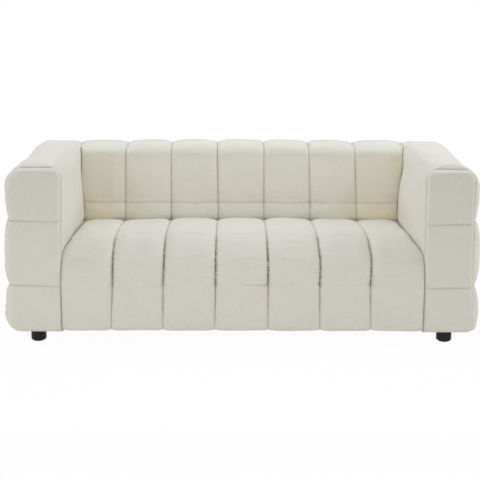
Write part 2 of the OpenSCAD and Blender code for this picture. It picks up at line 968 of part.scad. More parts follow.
module back_ribs() {
    color(plywood)
        for (i = [0:rib_count - 1])
            difference() {
                plate_x(rib_x[i] - ply_t / 2, ply_t)
                    rib_outline();
                if (i == 0 || i == rib_count - 1)
                    for (p = back_side_bolts)
                        rod_x(
                            [rib_x[i] - ply_t / 2 - overrun, p[0], p[1]],
                            bolt_d + 2 * bore_gap, ply_t + 2 * overrun
                        );
            }
}

module back_top_rail() {
    color(pine)
        board([-inner_x, rib_front(frame_top_z), rib_top_z], [inner_x, rib_rear_y, frame_top_z]);
}

module back_base_rail() {
    color(pine)
        difference() {
            board([-inner_x, rib_y, rail_z], [inner_x, rib_y + rail_t, rail_top_z]);
            for (x = back_bolt_x) {
                rod_y([x, rib_y - overrun, bolt_z], insert_d, insert_l + overrun);
                rod_y([x, rib_y, bolt_z], bolt_d + 2 * bore_gap, rail_t + overrun);
            }
        }
}

module back_battens() {
    color(pine)
        for (z = batten_z)
            board([-inner_x, rib_rear_y - rail_t, z], [inner_x, rib_rear_y, z + batten_w]);
}

module back_panel() {
    color(fabric)
        board([-pad_half_w, rib_rear_y, base_z], [pad_half_w, rear_y, frame_top_z]);
}

// ---- feet ----

module foot(place) {
    color(black)
        translate([place[0], place[1], 0])
            difference() {
                rotate_extrude($fn = 64)
                    union() {
                        translate([0, glide_t])
                            square([foot_d / 2 - foot_edge_r, foot_h - glide_t]);
                        translate([0, glide_t + foot_edge_r])
                            square([foot_d / 2, foot_h - glide_t - foot_edge_r]);
                        translate([foot_d / 2 - foot_edge_r, glide_t + foot_edge_r])
                            circle(r = foot_edge_r, $fn = 48);
                    }
                rod_z([0, 0, foot_h - stud_foot_l], stud_d, stud_foot_l + overrun);
            }
}

module front_left_foot() {
    foot(foot_places[0]);
}

module front_right_foot() {
    foot(foot_places[1]);
}

module rear_left_foot() {
    foot(foot_places[2]);
}

module rear_right_foot() {
    foot(foot_places[3]);
}

module centre_foot() {
    foot(foot_places[4]);
}

module foot_glides() {
    color("dimgray")
        for (place = foot_places)
            rod_z([place[0], place[1], 0], glide_d, glide_t);
}

module foot_studs() {
    color(steel)
        for (place = foot_places)
            rod_z([place[0], place[1], foot_h - stud_foot_l], stud_d, stud_foot_l + stud_frame_l);
}

module foot_inserts() {
    color(steel)
        for (place = foot_places) {
            low_z = place[0] == 0 ? rail_z : base_z;
            difference() {
                rod_z([place[0], place[1], low_z], stud_insert_d, insert_l);
                rod_z([place[0], place[1], low_z - overrun], stud_d, insert_l + 2 * overrun);
            }
        }
}

// ---- joining hardware ----

// Inner faces of the timber that the bolt heads bear on
function side_head_x(p) = inner_x - (p[0] == back_bolt_y ? ply_t : rail_t);

insert_x = arm_frame_x0 + skin_t;

module arm_bolts() {
    color(steel)
        for (side = [0, 1])
            mirror([side, 0, 0])
                for (p = side_bolts) {
                    head_x = side_head_x(p) - washer_t;
                    rod_x([head_x, p[0], p[1]], bolt_d, insert_x + insert_l - head_x);
                    rod_x([head_x - head_t, p[0], p[1]], head_d, head_t);
                }
}

module arm_bolt_washers() {
    color(steel)
        for (side = [0, 1])
            mirror([side, 0, 0])
                for (p = side_bolts) {
                    washer_x = side_head_x(p) - washer_t;
                    difference() {
                        rod_x([washer_x, p[0], p[1]], washer_d, washer_t);
                        rod_x([washer_x - overrun, p[0], p[1]], bolt_d, washer_t + 2 * overrun);
                    }
                }
}

module arm_bolt_inserts() {
    color(steel)
        for (side = [0, 1])
            mirror([side, 0, 0])
                for (p = side_bolts)
                    difference() {
                        rod_x([insert_x, p[0], p[1]], insert_d, insert_l);
                        rod_x([insert_x - overrun, p[0], p[1]], bolt_d, insert_l + 2 * overrun);
                    }
}

module back_bolts() {
    head_y = rear_rail_y - washer_t;
    color(steel)
        for (x = back_bolt_x) {
            rod_y([x, head_y, bolt_z], bolt_d, washer_t + rail_t + insert_l);
            rod_y([x, head_y - head_t, bolt_z], head_d, head_t);
        }
}

module back_bolt_washers() {
    head_y = rear_rail_y - washer_t;
    color(steel)
        for (x = back_bolt_x)
            difference() {
                rod_y([x, head_y, bolt_z], washer_d, washer_t);
                rod_y([x, head_y - overrun, bolt_z], bolt_d, washer_t + 2 * overrun);
            }
}

module back_bolt_inserts() {
    color(steel)
        for (x = back_bolt_x)
            difference() {
                rod_y([x, rib_y, bolt_z], insert_d, insert_l);
                rod_y([x, rib_y - overrun, bolt_z], bolt_d, insert_l + 2 * overrun);
            }
}

left_arm_cover();
left_arm_front_facing();
left_arm_rear_facing();
left_arm_end_boards();
left_arm_posts();
left_arm_top_board();
left_arm_base_board();
left_arm_bolt_rail();
left_arm_skins();
right_arm_cover();
right_arm_front_facing();
right_arm_rear_facing();
right_arm_end_boards();
right_arm_posts();
right_arm_top_board();
right_arm_base_board();
right_arm_bolt_rail();
right_arm_skins();
seat_cover();
seat_foam();
seat_felt();
seat_springs();
spring_clips();
seat_front_rail();
seat_rear_rail();
seat_side_rails();
seat_bearers();
seat_corner_blocks();
dust_cover();
back_cover();
back_foam();
back_straps();
back_ribs();
back_top_rail();
back_base_rail();
back_battens();
back_panel();
front_left_foot();
front_right_foot();
rear_left_foot();
rear_right_foot();
centre_foot();
foot_glides();
foot_studs();
foot_inserts();
arm_bolts();
arm_bolt_washers();
arm_bolt_inserts();
back_bolts();
back_bolt_washers();
back_bolt_inserts();
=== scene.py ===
from math import atan2, cos, pi, radians, sin, tan
import bpy
import numpy as np
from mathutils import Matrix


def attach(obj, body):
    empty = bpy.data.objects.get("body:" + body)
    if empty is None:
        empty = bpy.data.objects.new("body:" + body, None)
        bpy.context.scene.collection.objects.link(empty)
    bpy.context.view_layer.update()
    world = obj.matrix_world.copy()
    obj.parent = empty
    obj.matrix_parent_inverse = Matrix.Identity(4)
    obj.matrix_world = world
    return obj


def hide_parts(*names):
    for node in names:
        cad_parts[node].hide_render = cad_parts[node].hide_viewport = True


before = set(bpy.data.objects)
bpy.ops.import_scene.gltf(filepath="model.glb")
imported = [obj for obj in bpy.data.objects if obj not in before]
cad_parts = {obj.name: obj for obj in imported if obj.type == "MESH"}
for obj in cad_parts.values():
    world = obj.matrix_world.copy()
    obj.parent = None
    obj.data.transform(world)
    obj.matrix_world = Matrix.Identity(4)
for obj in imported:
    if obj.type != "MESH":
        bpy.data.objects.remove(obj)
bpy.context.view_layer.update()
print("frame loaded,", len(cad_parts), "nodes")

# Planes of the frame that the covers go over, in metres, as the CAD has them
sofa = dict(
    innerX=0.805, outerX=1.029, frontY=-0.440, rearY=0.440, armEndY=0.410, backY=0.137, baseZ=0.061,
    seatZ=0.455, foamZ=0.390, foamEdge=0.055, topZ=0.810, frameTopZ=0.765, channels=7, rake=radians(15.5),
    gap=0.0006, tuftShare=0.289,
)
innerX, armEndY, baseZ, seatZ, topZ = (sofa[key] for key in ("innerX", "armEndY", "baseZ", "seatZ", "topZ"))
tuftZ = baseZ + sofa["tuftShare"] * (topZ - baseZ)


# Shape rules

def smooth(t):
    t = np.clip(t, 0, 1)
    return t * t * (3 - 2 * t)


def eased(place, span):
    # from 0 at the span's start to 1 at its end; a span is a start and a length, which may be negative
    return smooth((place - span[0]) / span[1])


def pinch(distance, run, power):
    # how far a seam pulls the padding in, 1 in the seam and 0 from run on
    t = 1 - np.clip(np.abs(distance) / run, 0, 1)
    return 1 - np.sqrt(1 - t ** power)


def roundOff(radius, distance):
    # what a rounded edge takes off at a distance from that edge
    short = np.clip(radius - distance, 0, radius)
    return radius - np.sqrt(radius ** 2 - short ** 2)


def crowded(count):
    # shares from 0 to 1 that crowd towards both ends
    return (1 - np.cos(pi * np.arange(count + 1) / count)) / 2


def mixed(low, high, share):
    return low + (high - low) * share


def along(count, start, end):
    return np.linspace(start, end, count, endpoint=False)


def profile(points, spacing):
    # an even walk along a smooth curve through the points, with its outward normals
    points = np.array(points, float)
    ends = np.concatenate([[2 * points[0] - points[1]], points, [2 * points[-1] - points[-2]]])
    steps = along(24, 0, 1)[:, None]
    walk = []
    for a, b, c, d in zip(ends, ends[1:], ends[2:], ends[3:]):
        walk.append(0.5 * (2 * b + (c - a) * steps + (2 * a - 5 * b + 4 * c - d) * steps ** 2
                           + (3 * b - a - 3 * c + d) * steps ** 3))
    walk = np.concatenate(walk + [points[-1:]])
    run = np.concatenate([[0], np.cumsum(np.hypot(*np.diff(walk, axis=0).T))])
    even = np.linspace(0, run[-1], int(run[-1] / spacing) + 1)
    even = np.stack([np.interp(even, run, walk[:, k]) for k in (0, 1)], 1)
    way = np.gradient(even, axis=0)
    way /= np.hypot(*way.T)[:, None]
    return even, np.stack([way[:, 1], -way[:, 0]], 1)


def waver(seed, *places, count=7):
    # a slow uneven swell between about -1 and 1; places are arrays counted in swells
    draw = np.random.default_rng(seed)
    total = 0
    for _ in range(count):
        pulls = draw.normal(size=len(places))
        total = total + np.sin(sum(pull * place for pull, place in zip(pulls, places)) * 2 * pi
                               + draw.uniform(0, 2 * pi))
    return total / count ** 0.5 * 0.8


# The arms, whose inner sides the seat and the back lie against

arm = dict(
    # radii of the edges at the two ends and in the full middle, and where one becomes the other
    edge=0.042, baseEdge=0.020, frontEdge=0.108, rearEdge=0.058, blendRun=0.42, innerEdge=0.085,
    innerEdgeRear=0.050, innerEdgeY=(0.02, 0.16), rearHeel=0.020, heelY=(-0.30, 0.25),
    # padding of the outer side in three tiers, and of the inner side
    puffs=(0.026, 0.027, 0.019), tierPower=2.3, baseOver=1.5, crownOver=0.060, flare=0.009, flareTop=0.60,
    flareRun=0.5, bulge=0.026, swellBelow=0.065, swellRun=0.090, swellRunFront=0.150, swellSkew=0.6,
    # spans over which the arms are sewn in and lean: where each starts, and how far it runs
    sewnY=(-0.31, -0.09), sewnZ=(0.35, 0.45), leanY=(-armEndY, 0.5), leanZ=(0.60, 0.12),
    # narrowed ends, the fall of the top towards the back cushion, and the hem
    endRoll=0.034, endDrop=0.012, endInset=0.012, fall=0.009, fallWidth=0.075, fallY=(-0.05, 0.3),
    fallZ=(0.74, 0.04), hemZ=0.0535, hemRise=(0.12, -0.059),
    coreX=(0.835, 1.005), off=0.002, pucker=0.0007, puckerPitch=0.021, puckerRun=0.014, uneven=0.0018,
    seamRun=0.004, seamShade=0.4, endShade=0.22,
)
# the two arms differ a little, in their tiers, widths, corners, leans and front seams
arms = dict(
    left=dict(side=1, seed=31, tiers=(0.061, 0.264, 0.560, 0.810), inset=0.012, keep=0.0, outerRoll=0.012,
              sewnIn=(-0.004, 0.0), lean=0.011, drop=0.021, slim=0.0, corner=0.045, heel=0.020, blend=0.24),
    right=dict(side=-1, seed=47, tiers=(0.061, 0.271, 0.570, 0.810), inset=0.003, keep=0.80, outerRoll=0.034,
               sewnIn=(0.006, 0.015), lean=-0.004, drop=0.016, slim=0.004, corner=0.078, heel=0.060, blend=0.34),
)
armSteps = dict(foot=12, inner=40, corner=18, top=20, tier=26, base=8, end=12, deep=84)


def tierPinch(z, tiers):
    # the lowest and the highest tier end past the edges of the arm, so they are still full there
    bounds = [tiers[0] - arm["baseOver"] * arm["baseEdge"], tiers[1], tiers[2], tiers[3] + arm["crownOver"]]
    tier = np.searchsorted(tiers[1:3], z, side="right")
    start, end = np.take(bounds, tier), np.take(bounds, tier + 1)
    away = np.abs(2 * (z - start) / (end - start) - 1)
    return 1 - np.sqrt(np.clip(1 - away ** arm["tierPower"], 0, 1))


def flareAt(z):
    # the outer side stands out a little more towards the floor
    return arm["flare"] * np.clip((arm["flareTop"] - z) / arm["flareRun"], 0, 1)


def tierSwell(z, tiers):
    # how far the outer side of an arm stands out over its frame
    puff = np.take(arm["puffs"], np.searchsorted(tiers[1:3], z, side="right"))
    return flareAt(z) + puff * (1 - tierPinch(z, tiers))


def sewnShift(own, y, z):
    # how far an arm is sewn in along its front, at its foot and at its top, less its outward lean beside the back
    foot, top = own["sewnIn"]
    lean = own["lean"] * eased(y, arm["leanY"]) * eased(z, arm["leanZ"])
    return mixed(foot, top, eased(z, arm["sewnZ"])) * eased(y, arm["sewnY"]) - lean


def innerRound(y):
    # radius of the inner top edge of the arms, smaller beside the back
    return mixed(arm["innerEdge"], arm["innerEdgeRear"], eased(y, arm["innerEdgeY"]))


def swellSpan():
    # heights between which the inner side of an arm swells
    return seatZ - arm["swellBelow"], topZ - arm["edge"]


def armInnerX(y, z):
    # the inner side of a straight arm, padded between its ends and over the seat
    low, high = swellSpan()
    t = np.clip((z - low) / (high - low), 0, 1)
    tall = np.sin(pi * t ** arm["swellSkew"])
    run = arm["swellRun"]
    deep = smooth((y + armEndY) / arm["swellRunFront"]) * smooth((sofa["backY"] + run - y) / run)
    return innerX - arm["bulge"] * tall * deep


def hem(z):
    # the lowest part of an arm reaches a little below the frame
    return z - (baseZ - arm["hemZ"]) * eased(z, arm["hemRise"])


def footCurve(count):
    # heights round the lower edge of an arm
    return baseZ + arm["baseEdge"] * (1 - np.cos(pi / 2 * np.arange(count) / armSteps["base"]))


def toTierSeam(z, tiers):
    # distance to the nearer of the two seams between the tiers
    return np.minimum(abs(z - tiers[1]), abs(z - tiers[2]))


# Mesh making

sharpFrom = radians(62)


def gridFaces(shape):
    # the numbers of a grid's points, and its faces
    index = np.arange(shape[0] * shape[1]).reshape(shape[:2])
    return index, np.stack([index[:-1, :-1], index[:-1, 1:], index[1:, 1:], index[1:, :-1]], -1).reshape(-1, 4)


def gridNormals(points):
    down, across = np.gradient(points, axis=0), np.gradient(points, axis=1)
    normal = np.cross(across, down)
    return normal / np.maximum(np.linalg.norm(normal, axis=2, keepdims=True), 1e-12)


def placed(name, data):
    made = bpy.data.objects.new(name, data)
    bpy.context.scene.collection.objects.link(made)
    return made


def shell(name, outer, inner, paintedShade=None, warm=None):
    # a closed padded piece: its outer and inner skins, joined along all four edges
    index, front = gridFaces(outer.shape)
    edge = np.concatenate([index[0, :-1], index[:-1, -1], index[-1, :0:-1], index[:0:-1, 0]])
    after, count = np.roll(edge, -1), index.size
    rim = np.stack([after, edge, edge + count, after + count], -1)
    faces = np.concatenate([front, front[:, ::-1] + count, rim])
    points = np.concatenate([outer.reshape(-1, 3), inner.reshape(-1, 3)])
    # a negative volume has its faces inside out
    a, b, c, d = points[faces].transpose(1, 0, 2)
    if (a * (np.cross(b, c) + np.cross(c, d))).sum() < 0:
        faces = faces[:, ::-1]
    mesh = bpy.data.meshes.new(name)
    mesh.from_pydata(points.tolist(), [], faces.tolist())
    mesh.shade_smooth()
    mesh.set_sharp_from_angle(angle=sharpFrom)
    # the outer skin carries two painted shades as point attributes: the dark one in seams and folds, and the warm one
    # low on the back
    for what, amount in (("paintedShade", paintedShade), ("warm", warm)):
        shade = np.zeros(2 * count, np.float32)
        if amount is not None:
            shade[:count] = np.clip(amount, 0, 1).reshape(-1)
        mesh.attributes.new(what, "FLOAT", "POINT").data.foreach_set("value", shade)
    return placed(name, mesh)


def dress(piece, slotName, node):
    # the finish and the slot share a name
    piece.data.materials.append(finishes[slotName])
    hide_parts(node)
    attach(piece, "root")


# Shader maths

class Wire:
    # one output of a node, on which sums are written as plain Python
    def __init__(self, tree, socket):
        self.tree, self.socket = tree, socket

    def sum(self, operation, first, second):
        vector = any(isinstance(w, Wire) and w.socket.type == "VECTOR" for w in (first, second))
        if vector and operation == "MULTIPLY" and not isinstance(second, (Wire, tuple)):
            return addNode(self.tree, "VectorMath", dict(operation="SCALE"), {0: first, "Scale": second})
        kind = "VectorMath" if vector else "Math"
        return addNode(self.tree, kind, dict(operation=operation), {0: first, 1: second})

    def __add__(self, other): return self.sum("ADD", self, other)
    def __radd__(self, other): return self.sum("ADD", other, self)
    def __sub__(self, other): return self.sum("SUBTRACT", self, other)
    def __rsub__(self, other): return self.sum("SUBTRACT", other, self)
    def __mul__(self, other): return self.sum("MULTIPLY", self, other)
    def __rmul__(self, other): return self.sum("MULTIPLY", self, other)
    def __truediv__(self, other): return self.sum("DIVIDE", self, other)


def feed(tree, socket, value):
    if isinstance(value, Wire):
        tree.links.new(value.socket, socket)
    elif socket.type == "RGBA" and len(value) == 3:
        socket.default_value = (*value, 1)
    else:
        socket.default_value = value


def addNode(tree, kind, settings=None, sockets=None, out=0):
    made = tree.nodes.new("ShaderNode" + kind)
    for key, value in (settings or {}).items():
        setattr(made, key, value)
    for key, value in (sockets or {}).items():
        feed(tree, made.inputs[key], value)
    return Wire(tree, made.outputs[out])


class Finish:
    def __init__(self, name, **constants):
        self.material = bpy.data.materials.new(name)
        self.material.use_nodes = True
        self.tree = self.material.node_tree
        self.shader = self.tree.nodes["Principled BSDF"]
        self.done(**constants)

    def node(self, kind, settings=None, sockets=None, out=0):
        return addNode(self.tree, kind, settings, sockets, out)

    def place(self):
        return self.node("TexCoord", out="Object")

    def painted(self, name):
        return self.node("Attribute", dict(attribute_name=name), out="Fac")

    def noise(self, place, scale, detail=2, roughness=0.5, out="Fac"):
        return self.node("TexNoise", {}, {"Vector": place, "Scale": scale, "Detail": detail,
                                          "Roughness": roughness}, out)

    def cells(self, place, scale, feature="F1", **sockets):
        sockets = {"Vector": place, "Scale": scale, **sockets}
        return self.node("TexVoronoi", dict(feature=feature), sockets, "Distance")

    def tint(self, amount, low, high):
        # colours are mixed by a Mix node, because sums would turn them grey
        return self.node("Mix", dict(data_type="RGBA"), {0: amount, 6: low, 7: high}, 2)

    def between(self, value, low, high, start=0.0, end=1.0):
        return self.node("MapRange", dict(interpolation_type="SMOOTHSTEP"),
                         {0: value, 1: low, 2: high, 3: start, 4: end})

    def bump(self, height, distance, strength, under=None):
        sockets = {"Height": height, "Distance": distance, "Strength": strength}
        if under:
            sockets["Normal"] = under
        return self.node("Bump", {}, sockets)

    def done(self, **links):
        for key, value in links.items():
            feed(self.tree, self.shader.inputs[key.replace("_", " ")], value)
        return self.material


# Finishes

boucle = dict(
    # ivory is the knots' own tone; shade is the painted shade between the knots and also the tone of the darker
    # patches; deep is the painted shade in the seams, and the brown tone is a painted warm shade
    ivory=(0.868, 0.850, 0.786), shade=(0.785, 0.760, 0.676), deep=(0.30, 0.26, 0.19), warm=(0.79, 0.70, 0.50),
    loops=230, fine=620, loopHeight=0.0011, fineHeight=0.0004, patches=7, bend=0.004, curlShare=0.35,
    patchShare=0.10, warmShare=0.75, paintedShadeShare=0.8,
)


def boucleFinish():
    # looped ivory yarn: rounded knots over a fine fuzz, with painted shade between the knots and down in the seams,
    # and a painted warm shade low on the back
    f = Finish("boucle", Roughness=0.93, Sheen_Weight=0.25, Sheen_Roughness=0.45, Specular_IOR_Level=0.12)
    place = f.place()
    drift = f.noise(place, boucle["loops"] * 0.6, 2, 0.6, "Color")
    bent = place + f.node("VectorMath", dict(operation="SCALE"), {0: drift, "Scale": boucle["bend"]})
    knots = 1 - f.cells(bent, boucle["loops"], "SMOOTH_F1", Smoothness=0.35)
    curls = f.noise(bent, boucle["fine"], 3, 0.65)
    patches = f.noise(place, boucle["patches"], 3, 0.55)
    lit = f.between(knots + curls * boucle["curlShare"], 0.55, 1.15)
    tone = f.tint(lit, boucle["shade"], boucle["ivory"])
    tone = f.tint(f.between(patches, 0.3, 0.75, 0.0, boucle["patchShare"]), tone, boucle["shade"])
    # painted warm shade, low on the back and towards the arms
    tone = f.tint(f.painted("warm") * boucle["warmShare"], tone, boucle["warm"])
    # painted shade down in the seams, the tuft grooves and along the panel edges
    tone = f.tint(f.painted("paintedShade") * boucle["paintedShadeShare"], tone, boucle["deep"])
    relief = f.bump(knots, boucle["loopHeight"], 0.9)
    relief = f.bump(curls, boucle["fineHeight"], 0.7, relief)
    return f.done(Base_Color=tone, Normal=relief)


blackPlastic = dict(tone=(0.008, 0.0078, 0.0085), lighter=(0.015, 0.0147, 0.016), grain=900, scuffs=26)


def plasticFinish():
    f = Finish("blackPlastic", Specular_IOR_Level=0.22)
    place = f.place()
    grain = f.noise(place, blackPlastic["grain"], 2, 0.5)
    scuffs = f.noise(place, blackPlastic["scuffs"], 5, 0.7)
    worn = f.between(scuffs, 0.5, 0.75)
    return f.done(Base_Color=f.tint(worn * 0.5, blackPlastic["tone"], blackPlastic["lighter"]),
                  Roughness=0.5 + worn * 0.15, Normal=f.bump(grain, 0.00012, 0.5))


rubber = dict(tone=(0.035, 0.034, 0.033), dust=(0.12, 0.115, 0.105))


def rubberFinish():
    f = Finish("rubber")
    place = f.place()
    dust = f.between(f.noise(place, 60, 4, 0.7), 0.45, 0.8)
    return f.done(Base_Color=f.tint(dust * 0.5, rubber["tone"], rubber["dust"]), Roughness=0.75 + dust * 0.15,
                  Normal=f.bump(f.noise(place, 700, 2), 0.0002, 0.6))


pine = dict(pale=(0.62, 0.43, 0.24), dark=(0.42, 0.25, 0.115), knot=(0.20, 0.10, 0.045), rings=38, rough=0.62)


def woodFinish(name, along):
    # sawn wood whose grain runs along X, Y or Z
    f = Finish(name)
    stretch = tuple(0.07 if axis == along else 1.0 for axis in "XYZ")
    place = f.node("Mapping", {}, {"Vector": f.place(), "Scale": stretch})
    drift = f.noise(place, 9, 3, 0.6)
    bands = f.node("TexNoise", {}, {"Vector": place, "Scale": pine["rings"], "Detail": 4, "Roughness": 0.62,
                                    "Distortion": 0.8})
    pores = f.noise(place, 420, 3, 0.7)
    late = f.between(bands + drift * 0.3, 0.52, 0.78)
    knots = f.between(f.cells(f.place(), 3.1), 0.02, 0.09, 1.0, 0.0)
    tone = f.tint(late, pine["pale"], pine["dark"])
    tone = f.tint(f.between(pores, 0.55, 0.75) * 0.35, tone, pine["dark"])
    tone = f.tint(knots * 0.8, tone, pine["knot"])
    return f.done(Base_Color=tone, Roughness=pine["rough"] + pores * 0.15,
                  Normal=f.bump(bands + pores * 0.4, 0.0005, 0.6))


plywood = dict(pale=(0.60, 0.42, 0.25), dark=(0.30, 0.17, 0.085), ply=0.003)


def plyFinish():
    f = Finish("plywood")
    place = f.place()
    layers = f.node("SeparateXYZ", {}, {0: place}, out="Y")
    bands = f.node("Math", dict(operation="PINGPONG"), {0: layers, 1: plywood["ply"]}) / plywood["ply"]
    grain = f.noise(f.node("Mapping", {}, {"Vector": place, "Scale": (1.0, 1.0, 0.08)}), 55, 4, 0.65)
    tone = f.tint(f.between(grain, 0.4, 0.7), plywood["pale"], plywood["dark"])
    tone = f.tint(f.between(bands, 0.4, 0.6) * 0.35, tone, plywood["dark"])
    return f.done(Base_Color=tone, Roughness=0.6 + grain * 0.2, Normal=f.bump(grain, 0.0004, 0.5))


hardboard = dict(tone=(0.235, 0.13, 0.065), fleck=(0.34, 0.21, 0.12))


def boardFinish():
    f = Finish("hardboard")
    place = f.place()
    flecks = f.noise(place, 340, 5, 0.75)
    mesh = f.cells(place, 520)
    tone = f.tint(f.between(flecks, 0.45, 0.7), hardboard["tone"], hardboard["fleck"])
    return f.done(Base_Color=tone, Roughness=0.55 + flecks * 0.2, Normal=f.bump(mesh + flecks, 0.0002, 0.6))


foamBlock = dict(tone=(0.70, 0.62, 0.36), pore=(0.50, 0.42, 0.20))
wadding = dict(tone=(0.62, 0.61, 0.59), pore=(0.30, 0.30, 0.32))


def foamFinish(name, look, cellScale, fibre):
    f = Finish(name, Roughness=0.97, Sheen_Weight=0.1)
    place = f.place()
    bubbles = f.cells(place, cellScale)
    fluff = f.noise(place, cellScale * 0.8, 5, 0.8)
    tone = f.tint(f.between(bubbles * (1 - fibre) + fluff * fibre, 0.3, 0.62), look["pore"], look["tone"])
    return f.done(Base_Color=tone, Normal=f.bump(bubbles + fluff, 0.0008, 0.8))


steel = dict(spring=(0.22, 0.225, 0.24), zinc=(0.62, 0.63, 0.64), clip=(0.42, 0.43, 0.44), rust=(0.17, 0.075, 0.03))


def steelFinish(name, tone, rough, stain):
    f = Finish(name, Metallic=1.0)
    place = f.place()
    drawn = f.noise(f.node("Mapping", {}, {"Vector": place, "Scale": (1.0, 0.15, 1.0)}), 900, 3, 0.6)
    spots = f.between(f.noise(place, 70, 5, 0.7), 0.58, 0.72)
    return f.done(Base_Color=f.tint(spots * stain, tone, steel["rust"]), Roughness=rough + drawn * 0.2 + spots * 0.2,
                  Metallic=1 - spots * stain, Normal=f.bump(drawn, 0.0001, 0.5))


cloth = dict(black=(0.020, 0.020, 0.021), lighter=(0.05, 0.05, 0.052),
             band=(0.03, 0.03, 0.032), stripe=(0.35, 0.33, 0.28))


def dustFinish():
    # pressed black non-woven cloth, with its rows of small bonding dimples
    f = Finish("dustCloth", Roughness=0.9, Sheen_Weight=0.15)
    place = f.place()
    fibres = f.noise(place, 520, 5, 0.75)
    dimples = f.cells(place, 420, Randomness=0.15)
    tone = f.tint(f.between(fibres, 0.4, 0.75), cloth["black"], cloth["lighter"])
    return f.done(Base_Color=tone, Normal=f.bump(f.between(dimples, 0.1, 0.45) + fibres * 0.5, 0.0004, 0.7))


def elasticFinish():
    f = Finish("elastic", Roughness=0.85)
    place = f.place()
    ribs = f.node("TexWave", dict(bands_direction="Z"), {"Vector": place, "Scale": 160.0, "Distortion": 0.3})
    fibres = f.noise(place, 700, 3, 0.7)
    tone = f.tint(f.between(ribs * 0.7 + fibres * 0.3, 0.3, 0.8), cloth["band"], cloth["stripe"])
    return f.done(Base_Color=tone, Normal=f.bump(ribs + fibres * 0.4, 0.0004, 0.8))


finishes = dict(
    boucle=boucleFinish(), foam=foamFinish("foamBlock", foamBlock, 900, 0.2),
    felt=foamFinish("wadding", wadding, 500, 0.9),
    spring_steel=steelFinish("springSteel", steel["spring"], 0.34, 0.35),
    clip_steel=steelFinish("clipSteel", steel["clip"], 0.30, 0.15),
    zinc_steel=steelFinish("zincSteel", steel["zinc"], 0.26, 0.05),
    softwood=woodFinish("pineRails", "X"), plywood=plyFinish(), hardboard=boardFinish(),
    black_cloth=dustFinish(), elastic=elasticFinish(), black_plastic=plasticFinish(), glide=rubberFinish(),
)
pineUpright = woodFinish("pinePosts", "Z")
pineDeep = woodFinish("pineBearers", "Y")
print("finishes made")

# Padding as cloth

padding = dict(
    frames=20, quality=6, pressure=4.0, growth=0.006, tension=500, shear=500 / 3, bending=1.5, mass=0.25,
    cap=0.006, smaller=0.8, evenRounds=16,
)


def thinned(count, keep):
    return np.array(sorted(set(range(0, count, 2)) | {count - 1} | set(keep)))


def swollen(outer, inner, held, keepRows=()):
    # the skin swells as cloth under pressure between its held seams; each point may move as far as the cap
    rows, columns = thinned(outer.shape[0], keepRows), thinned(outer.shape[1], ())
    pick = np.ix_(rows, columns)
    start = outer[pick]
    faces = gridFaces(start.shape)[1]
    # the pressure pushes along the faces' normals, which point away from the core
    if (gridNormals(start) * (start - inner[pick])).sum() > 0:
        faces = faces[:, ::-1]
    mesh = bpy.data.meshes.new("swelling")
    mesh.from_pydata(start.reshape(-1, 3).tolist(), [], faces.tolist())
    proxy = placed("swelling", mesh)
    group = proxy.vertex_groups.new(name="held")
    group.add([int(k) for k in np.flatnonzero(held[pick].reshape(-1))], 1.0, "REPLACE")
    swell = proxy.modifiers.new("swell", "CLOTH")
    rules = swell.settings
    rules.quality, rules.mass, rules.vertex_group_mass = padding["quality"], padding["mass"], "held"
    rules.tension_stiffness = rules.compression_stiffness = padding["tension"]
    rules.shear_stiffness, rules.bending_stiffness = padding["shear"], padding["bending"]
    rules.use_pressure, rules.uniform_pressure_force = True, padding["pressure"]
    rules.shrink_min = -padding["growth"]
    rules.effector_weights.gravity = 0
    swell.point_cache.frame_start, swell.point_cache.frame_end = 1, padding["frames"]
    for step in range(1, padding["frames"] + 1):
        bpy.context.scene.frame_set(step)
    done = proxy.evaluated_get(bpy.context.evaluated_depsgraph_get()).to_mesh()
    ends = np.empty(len(done.vertices) * 3, np.float32)
    done.vertices.foreach_get("co", ends)
    moved = ends.reshape(start.shape) - start
    bpy.data.objects.remove(proxy)
    bpy.context.scene.frame_set(1)
    size = np.maximum(np.linalg.norm(moved, axis=2, keepdims=True), 1e-9)
    moved = moved * (padding["cap"] * np.tanh(size / padding["cap"]) / size)
    # the padding started smaller by the even part of what it swells, so its size stays and its folds show
    even = moved
    for _ in range(padding["evenRounds"]):
        wide = np.pad(even, ((1, 1), (1, 1), (0, 0)), mode="edge")
        even = (even + wide[:-2, 1:-1] + wide[2:, 1:-1] + wide[1:-1, :-2] + wide[1:-1, 2:]) / 5
    moved = moved - padding["smaller"] * even
    # back from the thinned rows and columns to all of them
    allRows, allColumns = np.arange(outer.shape[0]), np.arange(outer.shape[1])
    across = np.stack([[np.interp(allColumns, columns, line[:, k]) for k in range(3)] for line in moved])
    full = np.stack([[np.interp(allRows, rows, across[:, k, c]) for k in range(3)] for c in allColumns])
    return outer + full.transpose(2, 0, 1)


# Seat and back, in seven channels

